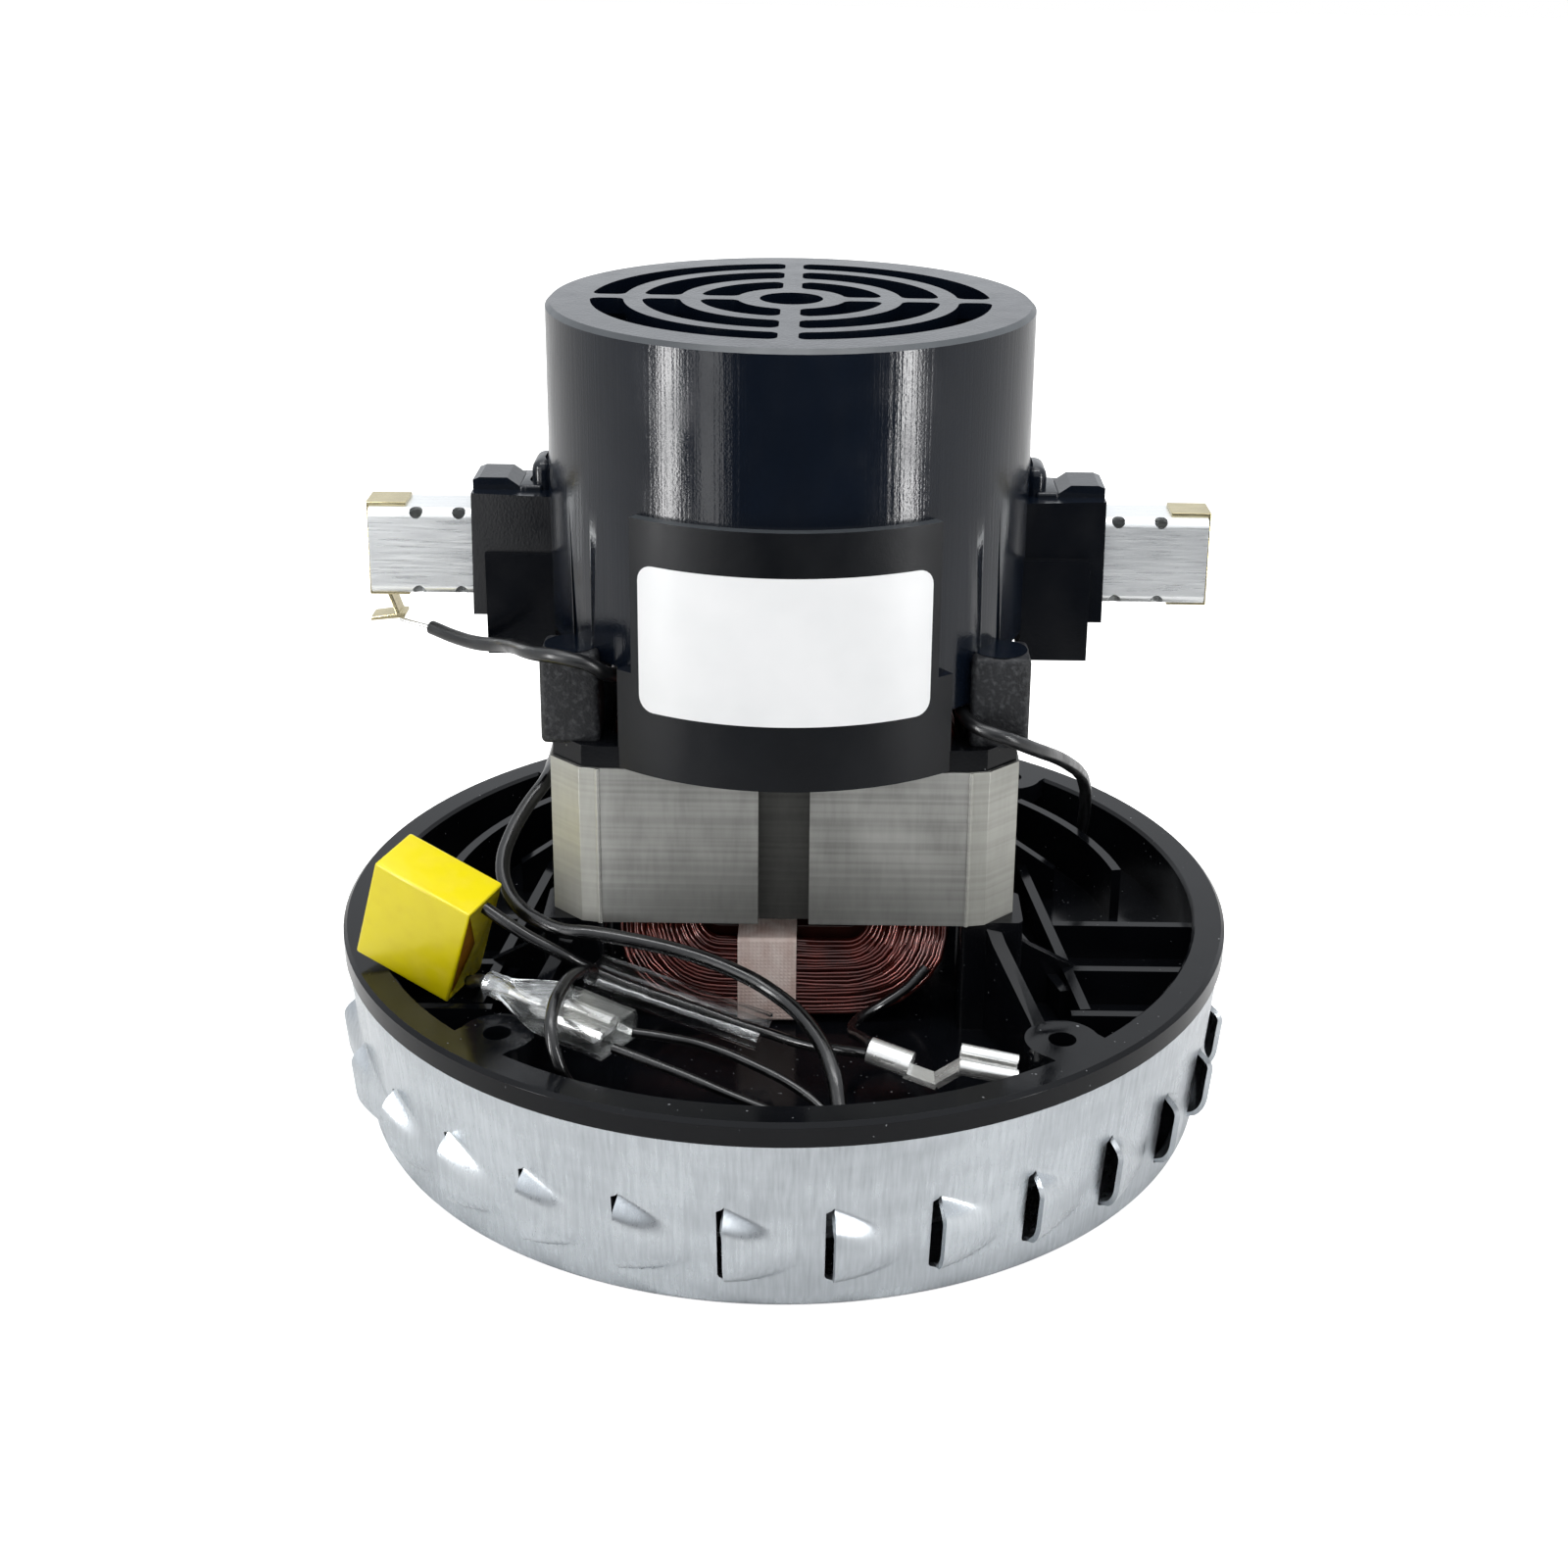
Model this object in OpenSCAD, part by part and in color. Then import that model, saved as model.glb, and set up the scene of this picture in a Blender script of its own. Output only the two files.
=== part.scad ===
// Suction motor unit: a two-pole brush motor standing on a flat bypass fan.
// The origin is on the motor axis at the underside of the fan shell, +Z is up,
// the brushes lie on the X axis and the front of the unit faces -Y.

/* [Fan shell] */
// Outer radius of the pressed shell at its top edge
shell_top_r = 71.5; // [70.5:0.1:73]
// How much narrower the shell is at its floor
shell_taper = 2.6; // [1.5:0.1:4]
// Height of the shell wall
shell_h = 28.2; // [27:0.1:31]
// Thickness of the shell sheet
shell_wall = 0.8; // [0.6:0.1:1]
// Bend radius between the floor and the wall of the shell
shell_bend_r = 1.6; // [1.2:0.1:3]
// Radius of the air inlet in the floor
inlet_r = 19; // [16:0.5:21]
// Height of the lip turned up round the inlet
inlet_lip_h = 3; // [2:0.1:3.4]
// Number of pressed louvres round the wall
louvre_count = 29; // [20:1:30]
// Angle of the first louvre opening from the front
louvre_first = 6.6; // [0:0.05:12]
// Length of a louvre hood round the wall
louvre_len = 10; // [7:0.5:11]
// How far a hood stands out at its opening
louvre_out = 2.9; // [2:0.1:3.5]
// Height of a louvre slit in the wall
louvre_h = 12.6; // [10:0.1:14]
// Height of the lower end of a slit above the floor
louvre_low = 4.8; // [4:0.1:7]

/* [Motor bracket] */
// How far the bracket rim stands out past the shell edge
rim_over = 0.4; // [0.1:0.1:1]
// Height of the rim above the shell edge
rim_h = 3.6; // [3:0.1:5]
// Radial width of the rim
rim_w = 5.2; // [4.5:0.1:6]
// Depth of the tray from the rim to its floor
tray_depth = 9.8; // [8:0.1:10.4]
// Thickness of the tray floor
deck_t = 2.2; // [1.8:0.1:3]
// Height of the four stator legs above the tray floor
leg_h = 18.5; // [17:0.1:20]
// Width of a leg along X
leg_w = 9.6; // [9:0.1:9.8]
// Width of a leg along Y
leg_d = 10.6; // [9:0.1:12]
// Distance of a mounting hole from the inner wall of the rim
tab_in = 3.35; // [2.6:0.05:4.5]
// Direction of the mounting holes from the X axis
tab_angle = 49.67; // [47:0.01:52]
// Radius of a mounting hole
tab_hole_r = 2.05; // [1.6:0.05:2.6]
// Depth of a mounting hole
tab_hole_depth = 7.8; // [5:0.1:9]
// Radius of the material round a mounting hole
tab_r = 5.5; // [4.5:0.1:6]
// Thickness of the tray ribs
rib_t = 1.6; // [1.2:0.1:2.4]
// Height of the tray ribs above the floor
rib_h = 6; // [4:0.1:8]

/* [Stator] */
// Width of the lamination stack along X
stator_w = 70.4; // [69.6:0.1:72]
// Depth of the lamination stack along Y
stator_d = 60; // [59:0.1:60.4]
// Height of the lamination stack
stator_h = 25.2; // [24:0.1:26]
// Bore radius between the pole shoes
stator_bore_r = 17.6; // [17.3:0.05:18]
// Gap between a pole neck and the innermost loop of its coil
pole_gap = 0.935; // [0.5:0.005:2]
// Thickness of the side yokes
side_yoke = 6; // [5.5:0.1:6.6]
// Thickness of the front and back yokes
end_yoke = 6; // [5:0.1:6.2]
// Thickness of the pole shoe
shoe_t = 2.8; // [2:0.1:3.2]
// Width of the channel down the front and back faces
channel_w = 7.6; // [5:0.1:9]
// Depth of the channel
channel_d = 1.8; // [1:0.1:2.4]
// Thickness of the insulating plate on the stack
end_plate_t = 3.4; // [2.8:0.1:4]
// Distance of a stator screw from the side of the stack
screw_side = 3.4; // [3.2:0.1:3.6]
// Distance of a stator screw from the front or back of the stack
screw_end = 6.6; // [6.2:0.1:7]
// Radius of a stator screw
screw_r = 2; // [1.8:0.05:2.1]

/* [Field coils] */
// Diameter of the visible winding strand
wire_d = 0.93; // [0.8:0.01:0.96]
// Distance from loop to loop
wire_pitch = 1.4; // [1.38:0.01:1.45]
// Distance from loop to loop down the outer side
side_pitch = 1.75; // [1.7:0.01:1.85]
// Loops across the face of a coil
face_loops = 9; // [6:1:9]
// Loops down the outer side of a coil
side_loops = 3; // [2:1:3]
// Gap between a coil and the side yokes
coil_side_gap = 3.235; // [2.9:0.005:3.5]
// Rise of the innermost loop above the stack
coil_rise = 4.4; // [3.9:0.1:4.7]
// Corner radius of the innermost loop
coil_in_r = 3; // [2.6:0.1:3.4]
// How far the lower end turn stands out past the slot
coil_bulge_low = 3.8; // [2:0.1:4.2]
// How far the upper end turn stands out past the slot
coil_bulge_top = 0.9; // [0.4:0.1:1]
// Length over which an end turn bends out
coil_bend = 7; // [6:0.5:9]

/* [Upper housing] */
// Outer radius of the housing
housing_r = 37; // [36.6:0.1:37.4]
// How much wider the housing is below its round collar
housing_draft = 0.15; // [0.1:0.05:0.4]
// Wall of the housing
housing_wall = 2; // [1.6:0.1:2.2]
// Height of the housing above its legs
housing_h = 49.4; // [48.8:0.1:52]
// Length of the four legs of the housing
post_h = 11.9; // [11.5:0.1:13]
// Radius of a leg
post_r = 4; // [3.6:0.1:4.2]
// Thickness of the grille
grille_t = 2.4; // [1.8:0.1:3]
// Width of the grille spokes
spoke_w = 2.9; // [2:0.1:4]
// How far the front and back pads stand out past the housing
pad_out = 1.8; // [1.4:0.1:2.2]
// Height of the top ledge of the pads above the lower edge of the housing
pad_h = 24; // [20:0.5:28]
// Lowest point of the pads above the lower edge of the stator plate
tongue_low = 0.4; // [0.2:0.1:2]

/* [Brush gear] */
// Height of the brush axis above the lower edge of the housing
brush_rise = 9.9; // [9.6:0.1:10.4]
// Height of a brush tube
tube_h = 13.8; // [13:0.1:14]
// Width of a brush tube
tube_w = 9.6; // [9:0.1:10]
// Sheet of a brush tube
tube_wall = 0.7; // [0.5:0.05:0.8]
// Distance of the outer end of a tube from the axis
tube_end_x = 64.9; // [62:0.1:66]
// Gap between a tube and the commutator
tube_gap = 2.8; // [2:0.1:4]
// Length of a new carbon brush
brush_len = 24.5; // [20:0.5:28]
// Thickness of the spring clips
clip_t = 0.6; // [0.4:0.05:0.8]
// Outermost plane of a brush holder block
block_end_x = 48.6; // [46:0.1:50]

/* [Rotor] */
// Radius of the shaft
shaft_r = 4; // [3.5:0.5:4]
// Radial gap between the armature and the pole shoes
air_gap = 0.6; // [0.4:0.05:0.7]
// Number of armature slots
slot_count = 12; // [10:1:14]
// Radius of the commutator
commutator_r = 11.5; // [10.5:0.1:12]
// Number of commutator bars
bar_count = 24; // [16:2:28]
// Outer radius of a ball bearing
bearing_r = 11; // [10.5:0.5:11]
// Height of a ball bearing
bearing_h = 7; // [6.5:0.5:7]
// Radius of the suction impeller
impeller_r = 59; // [54:0.5:61]
// Number of impeller blades
blade_count = 8; // [6:1:10]
// Gap between the cooling fan and the housing wall
fan_gap = 3.8; // [3:0.1:7]
// Number of cooling fan blades
fan_blade_count = 10; // [7:1:12]

/* [Wiring] */
// Diameter of the long lead
main_lead_d = 2.3; // [1.8:0.1:2.4]
// Diameter of the brush leads
brush_lead_d = 2.2; // [1.6:0.1:2.2]
// Diameter of the capacitor lead and the jumper
jumper_d = 1.9; // [1.4:0.1:2]
// Diameter of the thin leads
thin_lead_d = 1.4; // [1:0.1:1.5]
// Length of the capacitor between its back and its open face
cap_len = 16.8; // [15:0.1:17]
// Thickness of the capacitor
cap_t = 9.5; // [8:0.1:10]
// Height of the capacitor
cap_h = 18.2; // [16:0.1:19]
// Spacing of the capacitor leads
cap_pitch = 15; // [12:0.1:15.2]

/* [Hidden] */
$fn = 72;

// Clearances
fit = 0.3;
slide = 0.2;
press = 0.05;
cut = 1;

// Heights, from the floor up
rim_top = shell_h + rim_h;
deck_top = rim_top - tray_depth;
deck_low = deck_top - deck_t;
stator_low = deck_top + leg_h;
stator_top = stator_low + stator_h;
stator_mid = stator_low + stator_h / 2;
plate_top = stator_top + end_plate_t;
housing_low = plate_top + post_h;
housing_top = housing_low + housing_h;
pad_top = housing_low + pad_h;
brush_z = housing_low + brush_rise;

// Radii and half sizes
shell_low_r = shell_top_r - shell_taper;
rim_r = shell_top_r + rim_over;
rim_in_r = rim_r - rim_w;
tab_x = (rim_in_r - tab_in) * cos(tab_angle);
tab_y = (rim_in_r - tab_in) * sin(tab_angle);
seat_r = shell_r(deck_low) - shell_wall - fit;
half_w = stator_w / 2;
half_d = stator_d / 2;
screw_x = half_w - screw_side;
screw_y = half_d - screw_end;
coil_in_w = half_w - side_yoke - coil_side_gap - wire_d / 2 - wire_pitch * face_loops;
coil_in_h = stator_h / 2 + coil_rise;
pole_half = coil_in_w - wire_d / 2 - pole_gap;
armature_r = stator_bore_r - air_gap;
pad_r = housing_r + pad_out;
housing_in_r = housing_r - housing_wall;
tube_start_x = commutator_r + tube_gap;

function shell_r(z) = shell_low_r + (shell_top_r - shell_low_r) * z / shell_h;
function arc(cx, cy, r, a0, a1, n = 5) =
    [for (i = [0:n]) let (a = a0 + (a1 - a0) * i / n) [cx + r * cos(a), cy + r * sin(a)]];

// Plain shapes that repeat
module ring(r_out, r_in, z0, z1) {
    translate([0, 0, z0]) linear_extrude(z1 - z0) difference() {
        circle(r_out);
        circle(r_in);
    }
}

module wedge(r, a0, a1) {
    polygon(concat([[0, 0]], arc(0, 0, r / cos((a1 - a0) / 8), a0, a1, 4)));
}

module ring_part(r_out, r_in, z0, z1, a0, a1) {
    translate([0, 0, z0]) linear_extrude(z1 - z0) intersection() {
        difference() {
            circle(r_out);
            circle(r_in);
        }
        wedge(r_out + cut, a0, a1);
    }
}

module round_rect(w, h, r) {
    square([w - 2 * r, h], center = true);
    square([w, h - 2 * r], center = true);
    for (sx = [-1, 1], sy = [-1, 1]) translate([sx * (w / 2 - r), sy * (h / 2 - r)]) circle(r, $fn = 32);
}

module four_corners(x, y) {
    for (sx = [-1, 1], sy = [-1, 1]) translate([sx * x, sy * y]) children();
}

module along_x(x0, x1) {
    translate([x0, 0, 0]) rotate([90, 0, 90]) linear_extrude(x1 - x0) children();
}

module along_y(y0, y1) {
    translate([0, y1, 0]) rotate([90, 0, 0]) linear_extrude(y1 - y0) children();
}

// Tube swept along points, with flat ends
function unit(v) = v / norm(v);
function heading(p, i) = unit(p[min(i + 1, len(p) - 1)] - p[max(i - 1, 0)]);
function square_to(v, t) = unit(v - (v * t) * t);
function side_vectors(p, first) =
    [for (i = 0, v = square_to(first, heading(p, 0)); i < len(p);
          i = i + 1, v = i < len(p) ? square_to(v, heading(p, i)) : v) v];

module tube(p, r, sides, first = [0, 0, 1]) {
    across = side_vectors(p, first);
    last = len(p) - 1;
    points = [for (i = [0:last], k = [0:sides - 1])
        let (t = heading(p, i), a = 360 * k / sides)
        p[i] + r * (cos(a) * across[i] + sin(a) * cross(t, across[i]))];
    skin = [for (i = [0:last - 1], k = [0:sides - 1])
        let (q = i * sides, n = (k + 1) % sides)
        each [[q + k, q + sides + n, q + n], [q + k, q + sides + k, q + sides + n]]];
    polyhedron(points, concat(skin, [[for (k = [0:sides - 1]) k]],
        [[for (k = [sides - 1:-1:0]) last * sides + k]]), convexity = 10);
}

// Pressed shell
function shell_profile() = concat(
    [[inlet_r, 0], [48, 0], [49, 0.8], [55, 0.8], [56, 0]],
    arc(shell_low_r - shell_bend_r, shell_bend_r, shell_bend_r, -90, 0),
    [[shell_top_r, shell_h], [shell_top_r - shell_wall, shell_h]],
    arc(shell_low_r - shell_bend_r, shell_bend_r, shell_bend_r - shell_wall, 0, -90),
    [[55.6, shell_wall], [54.6, shell_wall + 0.8], [49.4, shell_wall + 0.8], [48.4, shell_wall],
     [inlet_r + shell_wall, shell_wall], [inlet_r + shell_wall, inlet_lip_h], [inlet_r, inlet_lip_h]]);

hood_crown = 2.9;
hood_sill = 1;
tail_rise = 3.2;
tail_drop = 1.5;

module hood(inset, front) {
    out = louvre_out - inset;
    sag = louvre_len * louvre_len / 2 / shell_low_r;
    z0 = louvre_low + inset;
    z1 = louvre_low + louvre_h - inset;
    far = louvre_len - 2 * inset;
    back = 1.5 * shell_wall + sag + inset * 4;
    tip = inset > 0 ? -sag - inset : 0.04 - sag;
    polyhedron([[-front, -back, z0], [-front, -back, z1],
        [-front, out, z1 - hood_crown], [-front, out, z0 + hood_sill],
        [far, -back, z0 + tail_rise], [far, -back, z1 - tail_drop],
        [far, tip, z1 - tail_drop - 0.5], [far, tip, z0 + tail_rise + 0.6]],
        [[2, 1, 0], [3, 2, 0], [5, 6, 7], [4, 5, 7], [5, 4, 0], [1, 5, 0], [6, 5, 1], [2, 6, 1],
         [7, 6, 2], [3, 7, 2], [4, 7, 3], [0, 4, 3]]);
}

module louvre_place() {
    for (k = [0:louvre_count - 1])
        rotate([0, 0, louvre_first + 360 * k / louvre_count])
            translate([0, -shell_r(louvre_low + louvre_h / 2), 0]) mirror([0, 1, 0]) children();
}

module fan_shell() {
    color("silver") difference() {
        union() {
            rotate_extrude() polygon(shell_profile());
            louvre_place() hood(0, 0);
        }
        louvre_place() hood(shell_wall, 0.02);
    }
}

// Moulded bracket with its tray, legs, tabs and lower bearing cup
cup_r = bearing_r + 2.6;
lower_bearing_z = deck_top + 0.6;
cup_top = lower_bearing_z + bearing_h + 1.4;
// The ribs round the cup end clear of the taped end turns
cup_rib_r = stator_bore_r;
cup_rib_h = 2.2;
shaft_hole_r = 8.6;
screw_head_r = 3.7;
screw_head_h = 2.2;
baffle_r = rim_in_r - 8.9;
drain_x = rim_in_r - 16.7;
drain_r = 1.5;

function bracket_profile() = [
    [shaft_hole_r, deck_low], [seat_r, deck_low], [seat_r, shell_h], [rim_r, shell_h],
    [rim_r, rim_top - 0.6], [rim_r - 0.6, rim_top], [rim_in_r + 0.5, rim_top],
    [rim_in_r, rim_top - 0.5], [rim_in_r, deck_top], [cup_r, deck_top], [cup_r, cup_top],
    [bearing_r, cup_top], [bearing_r, lower_bearing_z], [shaft_hole_r, lower_bearing_z]];

module wall_between(a, b, z0, z1, t) {
    d = b - a;
    translate([a[0], a[1], z0]) rotate([0, 0, atan2(d[1], d[0])])
        translate([0, -t / 2, 0]) cube([norm(d), t, z1 - z0]);
}

module strut(a, b, top_a, top_b, t) {
    d = b - a;
    n = norm(d);
    translate([a[0], a[1], 0]) rotate([0, 0, atan2(d[1], d[0])]) along_y(-t / 2, t / 2)
        polygon([[0, deck_top - cut], [n, deck_top - cut], [n, top_b], [3, top_a - 2], [0, top_a]]);
}

module tab() {
    reach = tab_in + 1;
    translate([tab_x, tab_y, deck_top]) {
        translate([0, 0, tray_depth - rim_h]) linear_extrude(rim_h) {
            circle(tab_r);
            rotate([0, 0, tab_angle]) translate([0, 0.4 - tab_r]) square([reach, 2 * tab_r - 0.8]);
        }
        cylinder(r = tab_r - 1, h = tray_depth);
    }
}

module bracket_side() {
    rib_top = deck_top + rib_h;
    wall_between([40, 23], [46.3, -32.6], deck_top - cut, rib_top, rib_t);
    wall_between([36.6, -1], [44, -25], deck_top - cut, rib_top - 1, rib_t);
    for (y = [-4, -19.5, -33.8])
        wall_between([44, y], [rim_in_r * cos(asin(y / rim_in_r)) + 1, y], deck_top - cut, rib_top, rib_t);
    ring_part(baffle_r, baffle_r - rib_t, deck_top - cut, rim_top - 0.6, 10, 43);
    for (sy = [-1, 1]) mirror([0, sy < 0 ? 1 : 0, 0]) {
        tab();
        strut([screw_x, screw_y + leg_d / 2 - 1], [tab_x - 2.6, tab_y - 2.9],
            stator_low - 0.6, rim_top - 0.6, 2.2);
        strut([screw_x + leg_w / 2 - 1, screw_y - 3], [46.5, 18], stator_low - 6, rib_top - 0.4, 1.8);
    }
    for (sy = [-1, 1]) translate([screw_x, sy * screw_y, deck_top - cut])
        linear_extrude(leg_h + cut) round_rect(leg_w, leg_d, 1.2);
}

module motor_bracket() {
    color("#1b1d20") difference() {
        union() {
            rotate_extrude() polygon(bracket_profile());
            bracket_side();
            mirror([1, 0, 0]) bracket_side();
            for (a = [0:45:315]) rotate([0, 0, a + 22.5])
                wall_between([cup_r - 0.5, 0], [cup_rib_r, 0], deck_top - cut, deck_top + cup_rib_h, rib_t);
        }
        four_corners(screw_x, screw_y) {
            translate([0, 0, deck_low - cut]) cylinder(r = screw_r + slide, h = stator_low);
            translate([0, 0, deck_low - cut])
                cylinder(r = screw_head_r + slide, h = screw_head_h + cut + 0.2);
        }
        four_corners(tab_x, tab_y) translate([0, 0, rim_top - tab_hole_depth])
            cylinder(r = tab_hole_r, h = tab_hole_depth + cut);
        for (sx = [-1, 1]) translate([sx * drain_x, -26, deck_low - cut])
            cylinder(r = drain_r, h = deck_t + 2 * cut);
    }
}

// Long screws from under the tray into the legs of the housing
module stator_screws() {
    color("#8d9196") four_corners(screw_x, screw_y) translate([0, 0, deck_low + 0.2]) {
        cylinder(r = screw_r, h = plate_top + post_h - 3 - deck_low);
        difference() {
            cylinder(r = screw_head_r, h = screw_head_h);
            for (a = [0, 90]) rotate([0, 0, a]) cube([4.4, 0.9, 2.4], center = true);
        }
    }
}

// Lamination stack
module stator_outline(inset) {
    w = half_w - inset;
    d = half_d - inset;
    corner = [[w, d - 5], [w - 4.7, d - 0.5], [w - 7.2, d]];
    polygon(concat(corner, [for (i = [2:-1:0]) [-corner[i][0], corner[i][1]]],
        [for (i = [0:2]) [-corner[i][0], -corner[i][1]]],
        [for (i = [2:-1:0]) [corner[i][0], -corner[i][1]]]));
}

module pole() {
    intersection() {
        translate([-half_w, 0]) square([stator_w, half_d]);
        union() {
            translate([-pole_half, armature_r]) square([2 * pole_half, half_d - end_yoke / 2 - armature_r]);
            intersection() {
                circle(stator_bore_r + shoe_t);
                wedge(half_w, 35, 145);
            }
        }
    }
}

module stator_core() {
    window_w = stator_w - 2 * side_yoke;
    window_d = stator_d - 2 * end_yoke;
    color("#a9a8a2") translate([0, 0, stator_low]) difference() {
        linear_extrude(stator_h) difference() {
            union() {
                stator_outline(0);
                for (sx = [-1, 1], sy = [-1, 1]) translate([sx * (half_w - 7.5), sy * half_d])
                    circle(0.35, $fn = 16);
            }
            difference() {
                round_rect(window_w, window_d, 4.5);
                for (m = [0, 1]) mirror([0, m]) pole();
            }
            circle(stator_bore_r);
            for (sy = [-1, 1]) translate([0, sy * half_d])
                square([channel_w, 2 * channel_d], center = true);
        }
        four_corners(screw_x, screw_y) translate([0, 0, -cut])
            cylinder(r = screw_r + slide, h = stator_h + 2 * cut);
    }
}

module stator_end_plate() {
    color("#202326") difference() {
        translate([0, 0, stator_top]) linear_extrude(end_plate_t) difference() {
            stator_outline(0.4);
            round_rect(coil_w(face_loops) * 2 + wire_d + 1.6,
                2 * (coil_face_y + coil_bulge_top + wire_d / 2 + 0.5), 4);
            for (sy = [-1, 1]) translate([0, sy * half_d]) square([channel_w, 2 * channel_d], center = true);
        }
        four_corners(screw_x, screw_y) translate([0, 0, stator_top - cut])
            cylinder(r = screw_r + slide, h = end_plate_t + 2 * cut);
    }
}

// Field coils: a plain core behind an outer layer of turns, all one strand
coil_face_y = half_d - end_yoke - 0.24 - wire_d / 2;
coil_core_y = coil_face_y - wire_d / 2 - 0.1;
coil_back_y = stator_bore_r + 0.3;
function coil_w(n) = coil_in_w + wire_pitch * n;
function coil_h(n) = coil_in_h + wire_pitch * n;
function ease(u) = let (v = min(1, max(0, u))) v * v * (3 - 2 * v);
function bulge(dz) = (dz < 0 ? coil_bulge_low : coil_bulge_top)
    * ease((abs(dz) - stator_h / 2 - 0.6) / coil_bend);
function step_back(n) = n <= 0 ? 0 : side_pitch * (floor(n) + sqrt((n - floor(n)) * (2 - n + floor(n))));
function loop_dir(k) = let (q = floor(k / 6), j = k - 6 * q) j < 5 ? 90 * q + 22.5 * j : 90 * (q + 1);
function loop_centre(k) = let (q = floor(k / 6), j = k - 6 * q,
    cx = coil_in_w - coil_in_r, cz = coil_in_h - coil_in_r,
    sx = [1, -1, -1, 1][q], sz = [1, 1, -1, -1][q])
    j < 5 ? [sx * cx, sz * cz] : (q % 2 == 0 ? [0, sz * cz] : [sx * cx, 0]);
function coil_point(i) = let (k = i % 24, n = i / 24, grow = min(n, face_loops),
    a = loop_dir(k), c = loop_centre(k), r = coil_in_r + wire_pitch * grow,
    x = c[0] + r * cos(a), dz = c[1] + r * sin(a))
    [x, -coil_face_y - bulge(dz) + step_back(n - face_loops), stator_mid + dz];
coil_points = [for (i = [0:24 * (face_loops + side_loops)]) coil_point(i)];

function to_segment(p, a, b) = let (d = b - a, u = min(1, max(0, (p - a) * d / (d * d)))) norm(p - a - u * d);
coil_gap = min([for (i = [0:len(coil_points) - 1], j = [i + 12:len(coil_points) - 2])
    to_segment(coil_points[i], coil_points[j], coil_points[j + 1])]) - wire_d;
echo(least_gap_between_turns = coil_gap);

module coil_ring(grow_in, grow_out) {
    difference() {
        round_rect(2 * coil_w(grow_out), 2 * coil_h(grow_out), coil_in_r + wire_pitch * grow_out);
        round_rect(2 * coil_w(grow_in), 2 * coil_h(grow_in), coil_in_r + wire_pitch * grow_in);
    }
}

module coil_core() {
    turn_z = stator_h / 2 + coil_bend + 0.8;
    shrink = -0.5 * wire_d / wire_pitch;
    outer = face_loops + shrink - 0.15;
    translate([0, 0, stator_mid]) {
        along_y(-coil_core_y, -coil_back_y) coil_ring(shrink, outer);
        intersection() {
            along_y(-coil_core_y - coil_bulge_low, -coil_core_y) coil_ring(shrink, outer);
            translate([-half_w, -half_d, -2 * stator_h]) cube([stator_w, half_d, 2 * stator_h - turn_z]);
        }
    }
}

module field_coil_front() {
    color("#7a3b20") coil_core();
}

module field_coil_back() {
    color("#7a3b20") rotate([0, 0, 180]) coil_core();
}

module field_winding_front() {
    color("#a5532c") tube(coil_points, wire_d / 2, 6, [0, 1, 0]);
}

module field_winding_back() {
    color("#a5532c") rotate([0, 0, 180]) tube(coil_points, wire_d / 2, 6, [0, 1, 0]);
}

// Tape round the lower end turns
module tape_band() {
    t = 0.25;
    gap = 0.12;
    tape_round = 0.35;
    y0 = -coil_face_y - coil_bulge_low - wire_d / 2 - gap;
    z0 = stator_mid - coil_h(face_loops) - wire_d / 2 - gap;
    z1 = stator_mid - coil_in_h + wire_d / 2 + gap;
    h = z1 - z0;
    d = -coil_back_y + gap - y0;
    translate([0, (y0 - coil_back_y + gap) / 2, (z0 + z1) / 2]) along_x(-7, 2) difference() {
        round_rect(d + 2 * t, h + 2 * t, tape_round + t);
        round_rect(d, h, tape_round);
    }
}

module coil_tape() {
    color("#d9c3bb") {
        tape_band();
        rotate([0, 0, 180]) tape_band();
    }
}

// Housing: a cup with a grille, two pads, four legs and two brush holder blocks
ear_h = 2;
ear_angle = atan2(screw_y, screw_x);
ear_reach = norm([screw_x, screw_y]);
ear_from = min(housing_in_r + 0.3, ear_reach - 1);
housing_low_r = housing_r + housing_draft;
skirt_in_r = housing_in_r + 0.4;
slot_round = 1.4;
hub_hole_r = 4.8;
hub_r = 8.2;
grille_rim = 6.7;
grille_steps = [0, 5.7, 8.6, 14.3, 17.1, 22.1];
grille_stretch = (housing_r - grille_rim - hub_r) / grille_steps[5];
grille_rings = [for (i = [0:2:4]) [for (j = [i, i + 1]) hub_r + grille_steps[j] * grille_stretch]];
bearing_seat_r = housing_in_r - 1.2;
bracket_top = brush_z + 19;

module quarter_slot(r1, r2) {
    s = spoke_w / 2;
    c = s + slot_round;
    far = r2 - slot_round;
    near = r1 + slot_round;
    intersection() {
        difference() {
            circle(r2);
            circle(r1);
        }
        translate([c, c]) square(r2);
    }
    intersection() {
        difference() {
            circle(far);
            circle(near);
        }
        translate([s, s]) square(r2);
    }
    for (m = [0, 1]) mirror([m, -m]) {
        translate([c, sqrt(far * far - c * c)]) circle(slot_round, $fn = 24);
        translate([c, sqrt(near * near - c * c)]) circle(slot_round, $fn = 24);
    }
}

module grille() {
    translate([0, 0, housing_top - grille_t - cut]) linear_extrude(grille_t + 2 * cut) {
        circle(hub_hole_r);
        for (q = [0:3], s = grille_rings) rotate([0, 0, 90 * q]) quarter_slot(s[0], s[1]);
    }
}

function housing_profile() = [
    [housing_in_r, housing_low], [housing_low_r, housing_low], [housing_low_r, pad_top - 1],
    [housing_r, bracket_top], [housing_r, housing_top - 0.7],
    [housing_r - 0.7, housing_top], [0, housing_top], [0, housing_top - grille_t],
    [bearing_seat_r, housing_top - grille_t], [bearing_seat_r, bracket_top], [housing_in_r, bracket_top]];

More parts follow.
